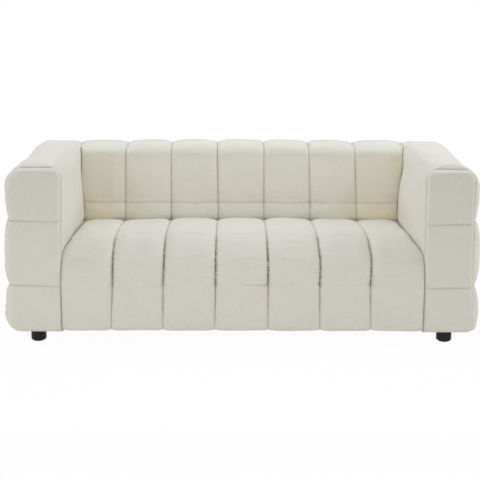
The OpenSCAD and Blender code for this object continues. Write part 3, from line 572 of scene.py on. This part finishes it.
seat = dict(
    crest=((0.1364, 0.400), (0.1364, 0.430), (0.1345, 0.4465), (0.124, 0.4545), (0.100, 0.4580), (0.050, 0.4625),
           (-0.050, 0.4700), (-0.140, 0.4742), (-0.210, 0.4742), (-0.270, 0.4685), (-0.330, 0.4525), (-0.380, 0.4240),
           (-0.415, 0.3850), (-0.434, 0.340), (-0.440, 0.290), (-0.440, 0.240), (-0.440, 0.190),
           (-0.440, 0.140), (-0.440, 0.100), (-0.438, 0.076), (-0.431, 0.064), (-0.420, 0.061)),
    # depth of the seams and of the ends beside the arms, by place down the profile: y on the top, then z
    topSeams=((-0.38, 0.028), (-0.33, 0.027), (-0.27, 0.021), (-0.195, 0.0165), (0.0, 0.0155), (0.08, 0.018),
              (0.13, 0.024)),
    frontSeams=((0.061, 0.008), (0.20, 0.016), (0.261, 0.018), (0.286, 0.026), (0.340, 0.028), (0.420, 0.029)),
    topEnds=((-0.40, 0.011), (-0.36, 0.018), (-0.31, 0.026), (-0.25, 0.030), (-0.15, 0.034), (0.10, 0.038)),
    frontEnds=((0.061, 0.008), (0.360, 0.008), (0.400, 0.012)),
    spacing=0.0032, topPower=2.6, frontPower=6.0, endRun=0.100, frontEndRun=0.035, endSink=0.0115,
    bendY=(-0.30, -0.12), turnY=-0.385, tuckY=0.09, tuckZ=(0.405, 0.03), apronT=0.044, rearGap=0.012,
    openHalf=0.0014, openPitch=0.0110, teeth=0.0125, teethPitch=0.0130, rag=0.0020,
    stepsAcross=28, pucker=0.0010, uneven=0.0022, seamShade=0.42, gapShade=0.85, warm=0,
    # a ridge over a groove runs out from each tuft, and one of them is pulled hard
    tuft=dict(run=0.012, deep=0.006, foldDeep=0.0016, foldRun=0.045, ridge=0.0045, groove=0.005, apart=0.009,
              lift=0.004, pullSeam=4, pullDeep=0.0062, pullRun=0.085),
    # sideways drift of the eight seams, by height
    drift=((0.061, (0, -0.007, -0.006, -0.0045, 0.0025, 0.0045, 0.002, 0)),
           (0.262, (0, 0.002, -0.0035, -0.001, 0.0025, 0.002, -0.004, 0)),
           (0.400, (0, 0.002, 0, 0, 0.002, 0.004, 0.002, 0)), (0.450, (0,) * 8)),
)
# what all seams of seat and back share: where they stand open, the lengths of their waves, and how far
# from the seam each effect reaches
sewing = dict(
    open=(0.018, 0.006), openWave=0.05, toothGain=2.2, toothLess=0.6, toothWave=0.03, toothRun=0.0035,
    endPower=2.2, fullDip=0.015, gatherPitch=0.017, gatherWave=0.09, gatherRun=0.012, unevenWave=0.33,
    ragWave=0.011, ragRun=0.006, shadeRun=0.0024, toothShade=0.7, endShade=0.45, foldShade=0.22, sinkX=0.72,
)


def seamPlaces(look, z):
    # where the eight seams lie across the sofa at the heights z
    straight = np.linspace(-innerX, innerX, sofa["channels"] + 1)
    heights = [height for height, _ in look["drift"]]
    drift = np.array([places for _, places in look["drift"]])
    return np.stack([straight[k] + np.interp(z, heights, drift[:, k]) for k in range(len(straight))], -1)


def tufted(tuft, depth, down, toSeam, nearest, side, front):
    # dents the tufts, with a ridge and a groove running out on either side; also gives the painted shade of the
    # grooves
    depth = depth + tuft["deep"] * np.exp(-(down ** 2 + toSeam ** 2) / tuft["run"] ** 2) * front
    lift = tuft["lift"] * (np.sin(nearest * 5.3) + side)
    reach = tuft["foldRun"] * (0.8 + 0.6 * np.sin(nearest * 3.1 + side * 2))
    pull = (nearest == tuft["pullSeam"]) * side
    reach = mixed(reach, tuft["pullRun"], pull)
    ridge = np.exp(-((down - lift) / tuft["ridge"]) ** 2)
    groove = np.exp(-((down - lift + tuft["apart"]) / tuft["groove"]) ** 2)
    fade = mixed(tuft["foldDeep"], tuft["pullDeep"], pull) * np.exp(-toSeam / reach) * front
    return depth + fade * (groove - 0.8 * ridge), groove * fade / tuft["pullDeep"]


def channelGrid(rows, look, seed):
    # rows are (y, z, inward y, inward z, seam depth, end depth, end run, further depth, power) down the
    # profile; the grid is rows by stations across the sofa, with each seam pulled in
    rows = np.array(rows, float)
    steps = look["stepsAcross"]
    channel = np.repeat(np.arange(sofa["channels"]), steps)
    share = np.tile(crowded(steps)[:-1], sofa["channels"])
    channel, share = np.append(channel, sofa["channels"] - 1), np.append(share, 1.0)
    y, z, inY, inZ, seamDip, endDip, endRun, extra, power = (rows[:, [k]] for k in range(9))
    run = np.concatenate([[0], np.cumsum(np.hypot(np.diff(rows[:, 0]), np.diff(rows[:, 1])))])[:, None]
    width = 2 * innerX / sofa["channels"]
    toSeam = np.minimum(share, 1 - share)[None, :] * width
    nearest = (channel + (share > 0.5))[None, :]
    inside = (nearest > 0) & (nearest < sofa["channels"])
    # a deep seam stands open between its stitches
    deep = eased(seamDip, sewing["open"]) * inside
    beat = run / look["openPitch"] + 0.6 * waver(seed + 3, run / sewing["openWave"], nearest * 1.3)
    toLip = np.maximum(toSeam - look["openHalf"] * deep * (0.5 + 0.5 * np.sin(2 * pi * beat)), 0)
    # and its torn looking stitches bridge it here and there
    beat = run / look["teethPitch"] + waver(seed + 4, run / sewing["toothWave"], nearest * 0.9)
    teeth = np.clip(sewing["toothGain"] * np.sin(2 * pi * beat) - sewing["toothLess"], 0, 1)
    teeth = teeth * deep * np.exp(-(toSeam / sewing["toothRun"]) ** 2)
    depth = np.where(inside, seamDip * pinch(toLip, width / 2, power),
                     endDip * pinch(toSeam, endRun, sewing["endPower"])) + extra
    depth = depth - look["teeth"] * teeth
    # gathers: the cloth wavers along each seam and dies out into the channel
    held = np.minimum(seamDip / sewing["fullDip"], 1)
    beat = run / sewing["gatherPitch"] + waver(seed, run / sewing["gatherWave"], nearest * 1.7)
    near = np.exp(-toSeam / sewing["gatherRun"])
    depth = depth + look["pucker"] * np.sin(2 * pi * beat + nearest * 2.1) * near * held
    swell = waver(seed + 1, run / sewing["unevenWave"], (channel + share)[None, :] / 1.3)
    depth = depth + look["uneven"] * swell * (1 - near) * held
    grooves = 0
    if "tuft" in look:
        side, front = share[None, :] > 0.5, (inY > 0.95) * inside
        depth, grooves = tufted(look["tuft"], depth, z - tuftZ, toSeam, nearest, side, front)
    # the top lies lower towards the arms
    straight = (channel + share) / sofa["channels"] * 2 * innerX - innerX
    bow = (straight / sewing["sinkX"]) ** 2 - 0.3
    depth = depth + look["endSink"] * bow[None, :] * smooth((-inZ - 0.5) / 0.4)
    if "lumbarDip" in look:
        seamZ = look["lumbarZ"] - look["lumbarSag"] * np.sin(pi * share)[None, :]
        lumbar = pinch(z - seamZ, look["lumbarRun"], 3) * (inY > 0.5)
        depth = depth + look["lumbarDip"] * lumbar
    outY, outZ = y + inY * depth, z + inZ * depth
    side = armInnerX(outY, outZ) - sofa["gap"]
    if "lumbarDip" in look:
        # the ends of the back lie against the rounded inner edges of the arms
        side = side + roundOff(innerRound(outY), topZ - np.minimum(outZ, topZ))
    seams = seamPlaces(look, z[:, 0])
    left = np.where(channel == 0, -side + sewnShift(arms["right"], outY, outZ), seams[:, channel])
    right = np.where(channel == sofa["channels"] - 1, side - sewnShift(arms["left"], outY, outZ),
                     seams[:, channel + 1])
    x = mixed(left, right, share[None, :])
    # the two lips of a deep seam are ragged
    ragged = waver(seed + 2, run / sewing["ragWave"], nearest * 2.3 + 0 * run)
    x = x + look["rag"] * ragged * np.exp(-toSeam / sewing["ragRun"]) * deep
    # painted shade along each seam, darkest where it stands open, less where stitches bridge it and at the ends
    # beside the arms, plus painted shade in the tuft grooves
    shade = np.clip(mixed(look["seamShade"], look["gapShade"], deep), 0, 1)
    shade = np.exp(-toLip / sewing["shadeRun"]) * shade * held * (1 - sewing["toothShade"] * teeth)
    shade = sewing["foldShade"] * grooves + shade * np.where(inside, 1, sewing["endShade"])
    return np.stack([x, outY, outZ], -1), shade


def listed(pairs, place):
    return float(np.interp(place, *zip(*pairs)))


def seatRows():
    walk, normal = profile(seat["crest"], seat["spacing"])
    rows = []
    for (y, z), (outY, outZ) in zip(walk, normal):
        front = float(eased(y, seat["bendY"]))
        on = "top" if y > seat["turnY"] else "front"
        place = y if on == "top" else z
        seamDip, endDip = listed(seat[on + "Seams"], place), listed(seat[on + "Ends"], place)
        if y > seat["tuckY"]:
            fade = float(eased(z, seat["tuckZ"]))
            seamDip, endDip = seamDip * fade, endDip * fade
        rows.append((y, z, -outY, -outZ, seamDip, endDip, mixed(seat["endRun"], seat["frontEndRun"], front), 0,
                     mixed(seat["topPower"], seat["frontPower"], front)))
    return rows


def seatInner(rows):
    # the skin against the foam and the front rail, just outside the foam's rounded front edge
    coreY, coreZ, off, edge = sofa["frontY"] + seat["apronT"], sofa["foamZ"], 0.002, sofa["foamEdge"]
    path = []
    for y, z, *_ in rows:
        across, up = coreY + edge - y, z - (coreZ - edge)
        if across > 0 and up < 0:
            path.append((coreY - off, z))
        elif across > 0:
            a = atan2(across, up)
            path.append((coreY + edge - (edge + off) * sin(a), coreZ - edge + (edge + off) * cos(a)))
        else:
            path.append((min(y, sofa["backY"] - seat["rearGap"]), coreZ + off))
    return np.array(path)


back = dict(
    edge=0.070, topRoll=0.048, rollDepth=0.056, rise=-0.0028, dip=0.020, power=2.1, topPower=3.6,
    crownZ=(0.74, 0.05), endDip=0.015, endSink=0.0050, endRun=0.09,
    lumbarSwell=0.006, swellBelow=0.02, lumbarZ=0.528, lumbarDip=0.0085, lumbarRun=0.026, lumbarSag=0.005,
    low=0.305, padT=0.027, backDip=0.019, off=0.003,
    openHalf=0, openPitch=1, teeth=0, teethPitch=1, rag=0.0,
    stepsAcross=28, pucker=0.0008, uneven=0.0020, seamShade=0.30, gapShade=0.30, warm=0.92,
    drift=((0.50, (0, 0.0015, 0, 0.0035, 0.002, 0.0025, 0.0035, 0)),
           (0.78, (0, -0.003, -0.0035, -0.002, 0.003, -0.001, 0, 0))),
)
# painted warm shade: the back is warmer and a little darker low down and towards the arms, as the light of a room
# would make it
paintedGlow = dict(endX=(0.40, 0.30), lowZ=(0.62, -0.14), highZ=(0.79, -0.06), least=0.10, ends=0.55, lowEnds=0.45)


def backLine(z):
    # the raked face under the padding
    return sofa["backY"] + max(0, z - seatZ) * tan(sofa["rake"])


def backRows():
    rake, edge, roll = sofa["rake"], back["edge"], back["topRoll"]
    crestZ = topZ + back["rise"]
    arcZ = crestZ - edge
    faceZ = arcZ + edge * sin(rake)
    arcY, rearArcY = backLine(faceZ) + edge * cos(rake), sofa["rearY"] - back["rollDepth"]
    rows = []

    def row(y, z, inY, inZ, share=1):
        low, high = seatZ - back["swellBelow"], back["lumbarZ"]
        swell = back["lumbarSwell"] * sin(pi * min(1, max(0, (z - low) / (high - low))))
        power = mixed(back["power"], back["topPower"], float(eased(z, back["crownZ"])))
        rows.append((y, z, inY, inZ, back["dip"] * share, back["endDip"] * share, back["endRun"], -swell, power))

    for a in along(16, 0, pi / 2):
        row(rearArcY + back["rollDepth"] * cos(a), sofa["frameTopZ"] + roll * sin(a), -cos(a) ** 2, -sin(a), sin(a))
    for y in along(6, rearArcY, arcY):
        row(y, crestZ, 0, -1)
    for a in along(20, pi / 2, rake):
        row(arcY - edge * cos(a), arcZ + edge * sin(a), cos(a), -sin(a))
    for z in along(44, faceZ, back["lumbarZ"] + back["lumbarRun"]):
        row(backLine(z), z, cos(rake), -sin(rake))
    for share in crowded(24)[:-1]:
        z = mixed(back["lumbarZ"] + back["lumbarRun"], back["lumbarZ"] - back["lumbarRun"], share)
        row(backLine(z), z, cos(rake), -sin(rake))
    for z in np.linspace(back["lumbarZ"] - back["lumbarRun"], back["low"], 24):
        tilt = rake if z > seatZ else 0
        row(backLine(z), z, cos(tilt), -sin(tilt))
    return rows


def backInner(rows):
    # the skin against the foam and over the top rail
    coreY, coreTop, off = sofa["backY"] + back["backDip"] + back["padT"], sofa["frameTopZ"], back["off"]
    topY = coreY + (coreTop - seatZ) * tan(sofa["rake"])
    path = []
    for y, z, *_ in rows:
        if z > coreTop - 0.004:
            path.append((min(max(y, topY), sofa["rearY"] - off), coreTop + off))
        else:
            path.append((coreY + max(0, z - seatZ) * tan(sofa["rake"]) - off, z))
    return np.array(path)


def makeChannels(name, rows, core, look, seed, node):
    outer, paintedShade = channelGrid(rows, look, seed)
    inner = outer.copy()
    inner[:, :, 1:] = core(rows)[:, None]
    held = np.zeros(outer.shape[:2], bool)
    held[:, ::look["stepsAcross"]] = held[:3] = held[-3:] = True
    if "lumbarDip" in look:
        held |= abs(np.array([row[1] for row in rows])[:, None] - look["lumbarZ"]) < 0.003
    outer = swollen(outer, inner, held)
    # painted warm shade, strongest low down and towards the arms and fading out at the top
    x, z = abs(outer[:, :, 0]), outer[:, :, 2]
    ends = eased(x, paintedGlow["endX"])
    low = eased(z, paintedGlow["lowZ"]) * mixed(paintedGlow["least"], paintedGlow["lowEnds"], ends)
    warm = look["warm"] * (mixed(paintedGlow["least"], paintedGlow["ends"], ends) + low)
    piece = shell(name, outer, inner, paintedShade, warm * eased(z, paintedGlow["highZ"]))
    dress(piece, "boucle", node)


makeChannels("seatCushion", seatRows(), seatInner, seat, 11, "seat_cover")
makeChannels("backCushion", backRows(), backInner, back, 23, "back_cover")
print("seat and back made")

# Arm covers

def armStations():
    # places from front to rear, crowded at the rounded ends
    end, roll = armEndY, arm["endRoll"]
    first = -end + roll * (1 - np.cos(pi / 2 * np.arange(armSteps["end"]) / armSteps["end"]))
    return np.concatenate([first, np.linspace(-end + roll, end - roll, armSteps["deep"]), -first[::-1]])


def armSection(y, own):
    # outline across X and Z from the inner foot over the top to the outer foot, with the core beside it
    full = float(np.sqrt(1 - (1 - min(1, (armEndY - abs(y)) / arm["endRoll"])) ** 2))
    tiers, kept = own["tiers"], mixed(own["keep"], 1, full) if y < 0 else full
    inset = own["inset"] if y < 0 else arm["endInset"]
    (low, high), corners = swellSpan(), armSteps["corner"]
    drop = (own["drop"] if y < 0 else arm["endDrop"]) * (1 - full)
    soft = mixed(arm["rearEdge"], arm["frontEdge"], float(smooth((own["blend"] - y) / arm["blendRun"])))
    corner = own["corner"] if y < 0 else arm["edge"]
    outEdge, inEdge = mixed(corner, soft, full), mixed(arm["edge"], innerRound(y), full)
    heel = mixed(own["heel"], arm["rearHeel"], float(eased(y, arm["heelY"])))
    fall = 1 - np.sin(pi / 2 * np.arange(1, corners + 1) / corners)
    innerZ = np.concatenate([along(armSteps["foot"], baseZ, low), np.linspace(low, topZ - inEdge, armSteps["inner"])])
    cornerInZ, cornerOutZ = topZ - inEdge * fall, topZ - outEdge * fall
    outerZ = np.concatenate([mixed(tiers[k], tiers[k + 1], crowded(armSteps["tier"])[:-1]) for k in range(3)])
    base = footCurve(armSteps["base"])
    # every station has the same rows, so the rows near the corner are squeezed below it
    outerZ = np.concatenate([base, outerZ[(outerZ > base[-1] + 0.003) & (outerZ < high - 0.002)], [high]])
    squeezed = tiers[2] + (outerZ - tiers[2]) * (topZ - outEdge - tiers[2]) / (high - tiers[2])
    outerZ = np.where(outerZ > tiers[2], squeezed, outerZ)

    def level(z):
        return z - drop * smooth((z - low) / (high - low))

    def outerX(z):
        return (sofa["outerX"] - own["slim"] + kept * tierSwell(z, tiers) - (1 - full) * inset
                - roundOff(outEdge, topZ - z) - roundOff(heel, z - baseZ))

    cornerIn = armInnerX(y, cornerInZ) - sewnShift(own, y, cornerInZ) + roundOff(inEdge, topZ - cornerInZ)
    topShare = np.linspace(0, 1, armSteps["top"] + 2)[1:-1]
    x = np.concatenate([armInnerX(y, innerZ) - sewnShift(own, y, innerZ), cornerIn,
                        mixed(cornerIn[-1], outerX(cornerOutZ[-1:])[0], topShare),
                        outerX(cornerOutZ)[::-1], outerX(outerZ)[::-1]])
    z = np.concatenate([level(innerZ), cornerInZ - drop, np.full(armSteps["top"], topZ - drop),
                        (cornerOutZ - drop)[::-1], level(outerZ)[::-1]])
    plain = np.zeros(len(innerZ) + 2 * corners + armSteps["top"])
    # painted shade along the tier seams and at the rounded ends
    paintedSeamShade = np.concatenate([plain, np.exp(-toTierSeam(outerZ, tiers) / arm["seamRun"])[::-1]]) * arm["seamShade"]
    paintedSeamShade = np.maximum(paintedSeamShade, np.exp(-(armEndY - abs(y)) / 0.002) * arm["endShade"])
    z = hem(z)
    toBack = np.clip(1 - (x - innerX) / arm["fallWidth"], 0, 1) ** 2 * float(eased(y, arm["fallY"]))
    z = z - arm["fall"] * toBack * eased(z, arm["fallZ"])
    coreLow, coreHigh, coreTop, off = *arm["coreX"], sofa["frameTopZ"], arm["off"]
    coreX = np.clip(x, coreLow - off, coreHigh + off)
    coreX[:len(innerZ)], coreX[-len(outerZ):] = coreLow - off, coreHigh + off
    coreZ = np.minimum(z, coreTop + off)
    coreZ[len(innerZ):-len(outerZ)] = coreTop + off
    return x, z, paintedSeamShade, coreX, coreZ


def makeArm(name, own, node):
    ys, side, seed, tiers = armStations(), own["side"], own["seed"], own["tiers"]
    cutX, cutZ, paintedShade, coreX, coreZ = (np.stack(part, 1) for part in zip(*[armSection(y, own) for y in ys]))
    y = np.broadcast_to(ys, cutX.shape)
    outer = np.stack([cutX, y, cutZ], -1)
    normal, middle = gridNormals(outer), len(ys) // 2
    if normal[0, middle, 0] > 0:
        normal = -normal
    quiet = smooth((armEndY - abs(y)) / 0.05)
    x, z = outer[:, :, 0], outer[:, :, 2]
    swell = arm["uneven"] * waver(seed, x / 0.35, y / 0.4, z / 0.3)
    away = toTierSeam(z, tiers)
    gather = np.sin(2 * pi * (y / arm["puckerPitch"] + waver(seed + 5, y / 0.2)))
    gather = arm["pucker"] * gather * np.exp(-away / arm["puckerRun"])
    outer = outer + normal * ((swell * (0.3 + 0.7 * smooth(away / 0.04)) + gather * (x > 0.95)) * quiet
                              * smooth((z - baseZ) / 0.05))[..., None]
    inner = np.stack([coreX, y, coreZ], -1)
    # held along the tier seams, round the foot, beside the seat and at both ends
    held = (away < 0.0015) & (x > 0.97)
    held |= (z < 0.10) | ((x < 0.9) & (z < 0.47)) | (abs(y) > armEndY - 0.004)
    seamRows = [int(np.argmin(abs(z[:, middle] - tiers[k]) + (x[:, middle] < 0.97))) for k in (1, 2)]
    held[seamRows] = True
    outer = swollen(outer, inner, held, seamRows)
    for skin in (outer, inner):
        skin[:, :, 0] *= side
    piece = shell(name, outer, inner, paintedShade)
    dress(piece, "boucle", node)


# Facings sewn over the ends of the arms

facing = dict(
    t=0.030, edgeT=0.002, dip=0.006, innerRoll=0.012, outerRoll=0.012, baseRoll=0.020, topRoll=0.013, blunt=0.86,
    stitch=0.0022, stitchRun=0.003, sag=0.006, sagRun=0.12, stopShort=0.001, stopRun=0.008, uneven=0.0010,
    lip=0.0014, lipAt=0.012, lipRun=0.005, seamShade=0.45, seamRun=0.0025, lipShades=(0.50, 0.22), lipShadeRun=0.0022,
)


def pillow(distance, width):
    # rises from an edge in a quarter circle
    return 1 - roundOff(1, np.clip(distance / width, 0, 1))


def makeFacing(name, own, end, node):
    low, high = swellSpan()
    front, side, tiers, seed = end < 0, own["side"], own["tiers"], own["seed"] + 2 + end
    base = footCurve(armSteps["base"] + 1)
    rows = np.concatenate([mixed(tiers[k], tiers[k + 1], crowded(34)[:-1]) for k in range(3)])
    corner = high + arm["edge"] * np.sin(pi / 2 * np.arange(0, 17) / 16)
    z = np.concatenate([base, rows[(rows > base[-1] + 0.003) & (rows < high - 0.002)], corner])[:, None]
    t = crowded(60)[None, :]
    sewnIn = sewnShift(own, sofa["frontY"], z) if front else 0
    x0 = innerX - sewnIn + roundOff(arm["edge"], topZ - z)
    x1 = (sofa["outerX"] - own["slim"] - roundOff(own["corner"] if front else arm["edge"], topZ - z)
          - roundOff(own["heel"] if front else arm["rearHeel"], z - baseZ))
    if front:
        x1 = x1 + np.maximum(own["keep"] * tierSwell(z, tiers), flareAt(z)) - own["inset"]
    else:
        x1 = x1 - arm["endInset"]
    x = mixed(x0, x1, t)
    drop = own["drop"] if front else arm["endDrop"]
    height = hem(z - drop * smooth((z - low) / (high - low)) + 0 * t)
    # the tier seams sag towards the seat and stop a little before the panel's inner edge
    sag = facing["sag"] * (1 - t) * smooth(t / facing["sagRun"])
    sewn = smooth((x - x0 - facing["stopShort"]) / facing["stopRun"])
    pull = tierPinch(z + sag, tiers) * sewn
    away = toTierSeam(z + sag, tiers)
    outRoll = own["outerRoll"] if front else facing["outerRoll"]
    # the rear facings meet the outside back with a blunt edge
    innerSide = pillow(x - x0, facing["innerRoll"])
    if not front:
        innerSide = np.maximum(innerSide, facing["blunt"])
    roll = (innerSide * pillow(x1 - x, outRoll)
            * pillow(z - baseZ, facing["baseRoll"]) * pillow(topZ - z, facing["topRoll"]))
    full = facing["t"] - facing["edgeT"] - facing["dip"] * pull - facing["lip"]
    puff = facing["edgeT"] + (full + facing["uneven"] * waver(seed, x / 0.2, z / 0.2)) * roll
    # a rolled lip runs just inside the sewn edge of the panel
    toLip = np.minimum(x - x0, topZ - z)
    if not (front and own["keep"]):
        toLip = np.minimum(toLip, x1 - x)
    puff = puff + facing["lip"] * np.exp(-((toLip - facing["lipAt"]) / facing["lipRun"]) ** 2) * roll
    puff = np.minimum(puff - facing["stitch"] * np.exp(-away / facing["stitchRun"]) * roll * sewn, facing["t"])
    outer = np.stack([x * side, end * (armEndY + puff), height], -1)
    inner = outer.copy()
    inner[:, :, 1] = end * armEndY
    # painted shade along the tier seams and just inside the rolled lip, weaker towards the top
    lipShade = mixed(*facing["lipShades"], smooth((z - topZ + 0.045) / 0.03))
    paintedShade = np.maximum(np.exp(-away / facing["seamRun"]) * sewn * facing["seamShade"],
                        np.exp(-toLip / facing["lipShadeRun"]) * lipShade)
    piece = shell(name, outer, inner, paintedShade)
    dress(piece, "boucle", node)


for word, own in arms.items():
    makeArm(word + "Arm", own, word + "_arm_cover")
    makeFacing(word + "ArmFront", own, -1, word + "_arm_front_facing")
    makeFacing(word + "ArmRear", own, 1, word + "_arm_rear_facing")
print("arms made")

# Outside back and the cloth under the seat

panel = dict(low=0.061, high=0.765, halfX=0.8044, y=0.4385, t=0.004, sag=0.0035, roll=0.008)
under = dict(z=0.0615, t=0.0008, frontY=-0.396, rearY=0.432, halfX=0.8044, lift=0.0004)


def makeBackPanel():
    across, up = crowded(80)[None, :], crowded(60)[:, None]
    x = mixed(-panel["halfX"], panel["halfX"], across) + 0 * up
    z = mixed(panel["low"], panel["high"], up) + 0 * across
    toEdge = np.minimum(np.minimum(x + panel["halfX"], panel["halfX"] - x),
                        np.minimum(z - panel["low"], panel["high"] - z))
    bow = panel["sag"] * np.sin(pi * across) * np.sin(pi * up) * (1 + 0.3 * waver(71, x / 0.6, z / 0.5))
    y = panel["y"] - bow - roundOff(panel["roll"], toEdge) * 0.4
    outer = np.stack([x, y, z], -1)
    inner = outer.copy()
    inner[:, :, 1] -= panel["t"] * 0.6
    # painted shade along the panel's edges
    piece = shell("outsideBack", outer, inner, np.exp(-toEdge / 0.003))
    dress(piece, "boucle", "back_panel")


def makeDustCloth():
    across, deep = np.linspace(0, 1, 90)[None, :], np.linspace(0, 1, 50)[:, None]
    x = mixed(-under["halfX"], under["halfX"], across) + 0 * deep
    y = mixed(under["frontY"], under["rearY"], deep) + 0 * across
    toEdge = np.minimum(under["halfX"] - abs(x), np.minimum(y - under["frontY"], under["rearY"] - y))
    z = under["z"] + under["lift"] * (1 + waver(83, x / 0.3, y / 0.3)) * smooth(toEdge / 0.05)
    outer = np.stack([x, y, z], -1)
    inner = outer.copy()
    inner[:, :, 2] += under["t"]
    piece = shell("dustCloth", outer, inner)
    dress(piece, "black_cloth", "dust_cover")


makeBackPanel()
makeDustCloth()
print("outside back and dust cloth made")

# Finishes of the frame's own solids

deeps = ("side_rails", "bearers", "bolt_rail")
for name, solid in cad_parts.items():
    for holder in solid.material_slots:
        kind = holder.material.name.split(".")[0] if holder.material else ""
        look = finishes.get(kind, finishes["softwood"])
        if kind == "softwood" and name.endswith("posts"):
            look = pineUpright
        elif kind == "softwood" and name.endswith(deeps):
            look = pineDeep
        holder.material = look
print("frame dressed")

# Camera, light and floor

eye = dict(place=(-0.050, -4.553, 1.477), pitch=9.0, lens=72.17, shiftX=0.0186, shiftY=-0.1620, roll=-0.14)
lamps = dict(
    over=dict(place=(0.3, -0.4, 3.1), turn=(0, 0, 0), size=(6.5, 3.6), power=60, tone=(0.910, 0.955, 1.0)),
    rear=dict(place=(0.4, 1.5, 2.6), turn=(-28, 0, 0), size=(6.0, 1.6), power=27, tone=(0.965, 0.98, 1.0)),
    front=dict(place=(-1.0, -5.5, 1.6), turn=(76, 0, -8), size=(6.0, 3.0), power=48.5, tone=(1.0, 0.978, 0.935)),
    low=dict(place=(-0.4, -1.35, 0.17), turn=(96, 0, 0), size=(3.2, 0.3), power=2.25, tone=(1.0, 0.97, 0.92)),
    right=dict(place=(4.2, -0.4, 2.2), turn=(0, 62, -4), size=(2.2, 1.6), power=52, tone=(0.98, 0.99, 1.0)),
    left=dict(place=(-4.2, -0.4, 2.2), turn=(0, -62, 4), size=(2.2, 1.6), power=40, tone=(0.98, 0.99, 1.0)),
)
daylight = 0.20  # strength of the white light from all around

lens = bpy.data.cameras.new("lens")
lens.lens, lens.shift_x, lens.shift_y = eye["lens"], eye["shiftX"], eye["shiftY"]
camera = placed("camera", lens)
camera.location = eye["place"]
camera.rotation_euler = (radians(90 - eye["pitch"]), radians(eye["roll"]), 0)
bpy.context.scene.camera = camera

for name, what in lamps.items():
    lamp = bpy.data.lights.new(name + "Light", "AREA")
    lamp.shape, lamp.size, lamp.size_y = "RECTANGLE", *what["size"]
    lamp.energy, lamp.color = what["power"], what["tone"]
    holder = placed(name + "Light", lamp)
    holder.location, holder.rotation_euler = what["place"], [radians(a) for a in what["turn"]]
    holder.visible_camera = False


def whiteBehind(tree, lit, output, share):
    # what the camera, mirrors and glass see of it is plain white, and the rest lights the sofa
    rays = tree.nodes.new("ShaderNodeLightPath").outputs
    camera, glossy, through = (Wire(tree, rays[f"Is {kind} Ray"]) for kind in ("Camera", "Glossy", "Transmission"))
    either = dict(operation="ADD", use_clamp=True)
    seen = addNode(tree, "Math", either, {0: camera, 1: addNode(tree, "Math", either, {0: glossy, 1: through})})
    kind = "Background" if output.node.type == "OUTPUT_WORLD" else "Emission"
    white = addNode(tree, kind, {}, {"Color": (1, 1, 1)})
    mix = addNode(tree, "MixShader", {}, {0: seen * share, 1: Wire(tree, lit), 2: white})
    tree.links.new(mix.socket, output)


world = bpy.data.worlds.new("studio")
world.use_nodes = True
bpy.context.scene.world = world
ambient = world.node_tree.nodes["Background"]
ambient.inputs["Color"].default_value = (1, 1, 1, 1)
ambient.inputs["Strength"].default_value = daylight
whiteBehind(world.node_tree, ambient.outputs[0], world.node_tree.nodes["World Output"].inputs[0], 1.0)

floorLook = dict(size=40.0, tone=(0.86, 0.86, 0.855), speck=(0.80,) * 3, near=1.2, far=3.2, shadowKept=0.030)


def makeFloor():
    f = Finish("floor", Roughness=0.85)
    place = f.place()
    reach = f.node("VectorMath", dict(operation="LENGTH"), {0: place}, "Value")
    speck = f.noise(place, 40, 3, 0.6)
    material = f.done(Base_Color=f.tint(speck * 0.08, floorLook["tone"], floorLook["speck"]))
    pure = f.between(reach, floorLook["near"], floorLook["far"], 1 - floorLook["shadowKept"], 1.0)
    whiteBehind(f.tree, f.shader.outputs[0], f.tree.nodes["Material Output"].inputs[0], pure)
    half = floorLook["size"] / 2
    mesh = bpy.data.meshes.new("studioFloor")
    mesh.from_pydata([(-half, -half, 0), (half, -half, 0), (half, half, 0), (-half, half, 0)], [], [(0, 1, 2, 3)])
    mesh.materials.append(material)
    placed("studioFloor", mesh)


makeFloor()
bpy.context.scene.view_settings.view_transform = "Standard"
print("camera, light and floor set")
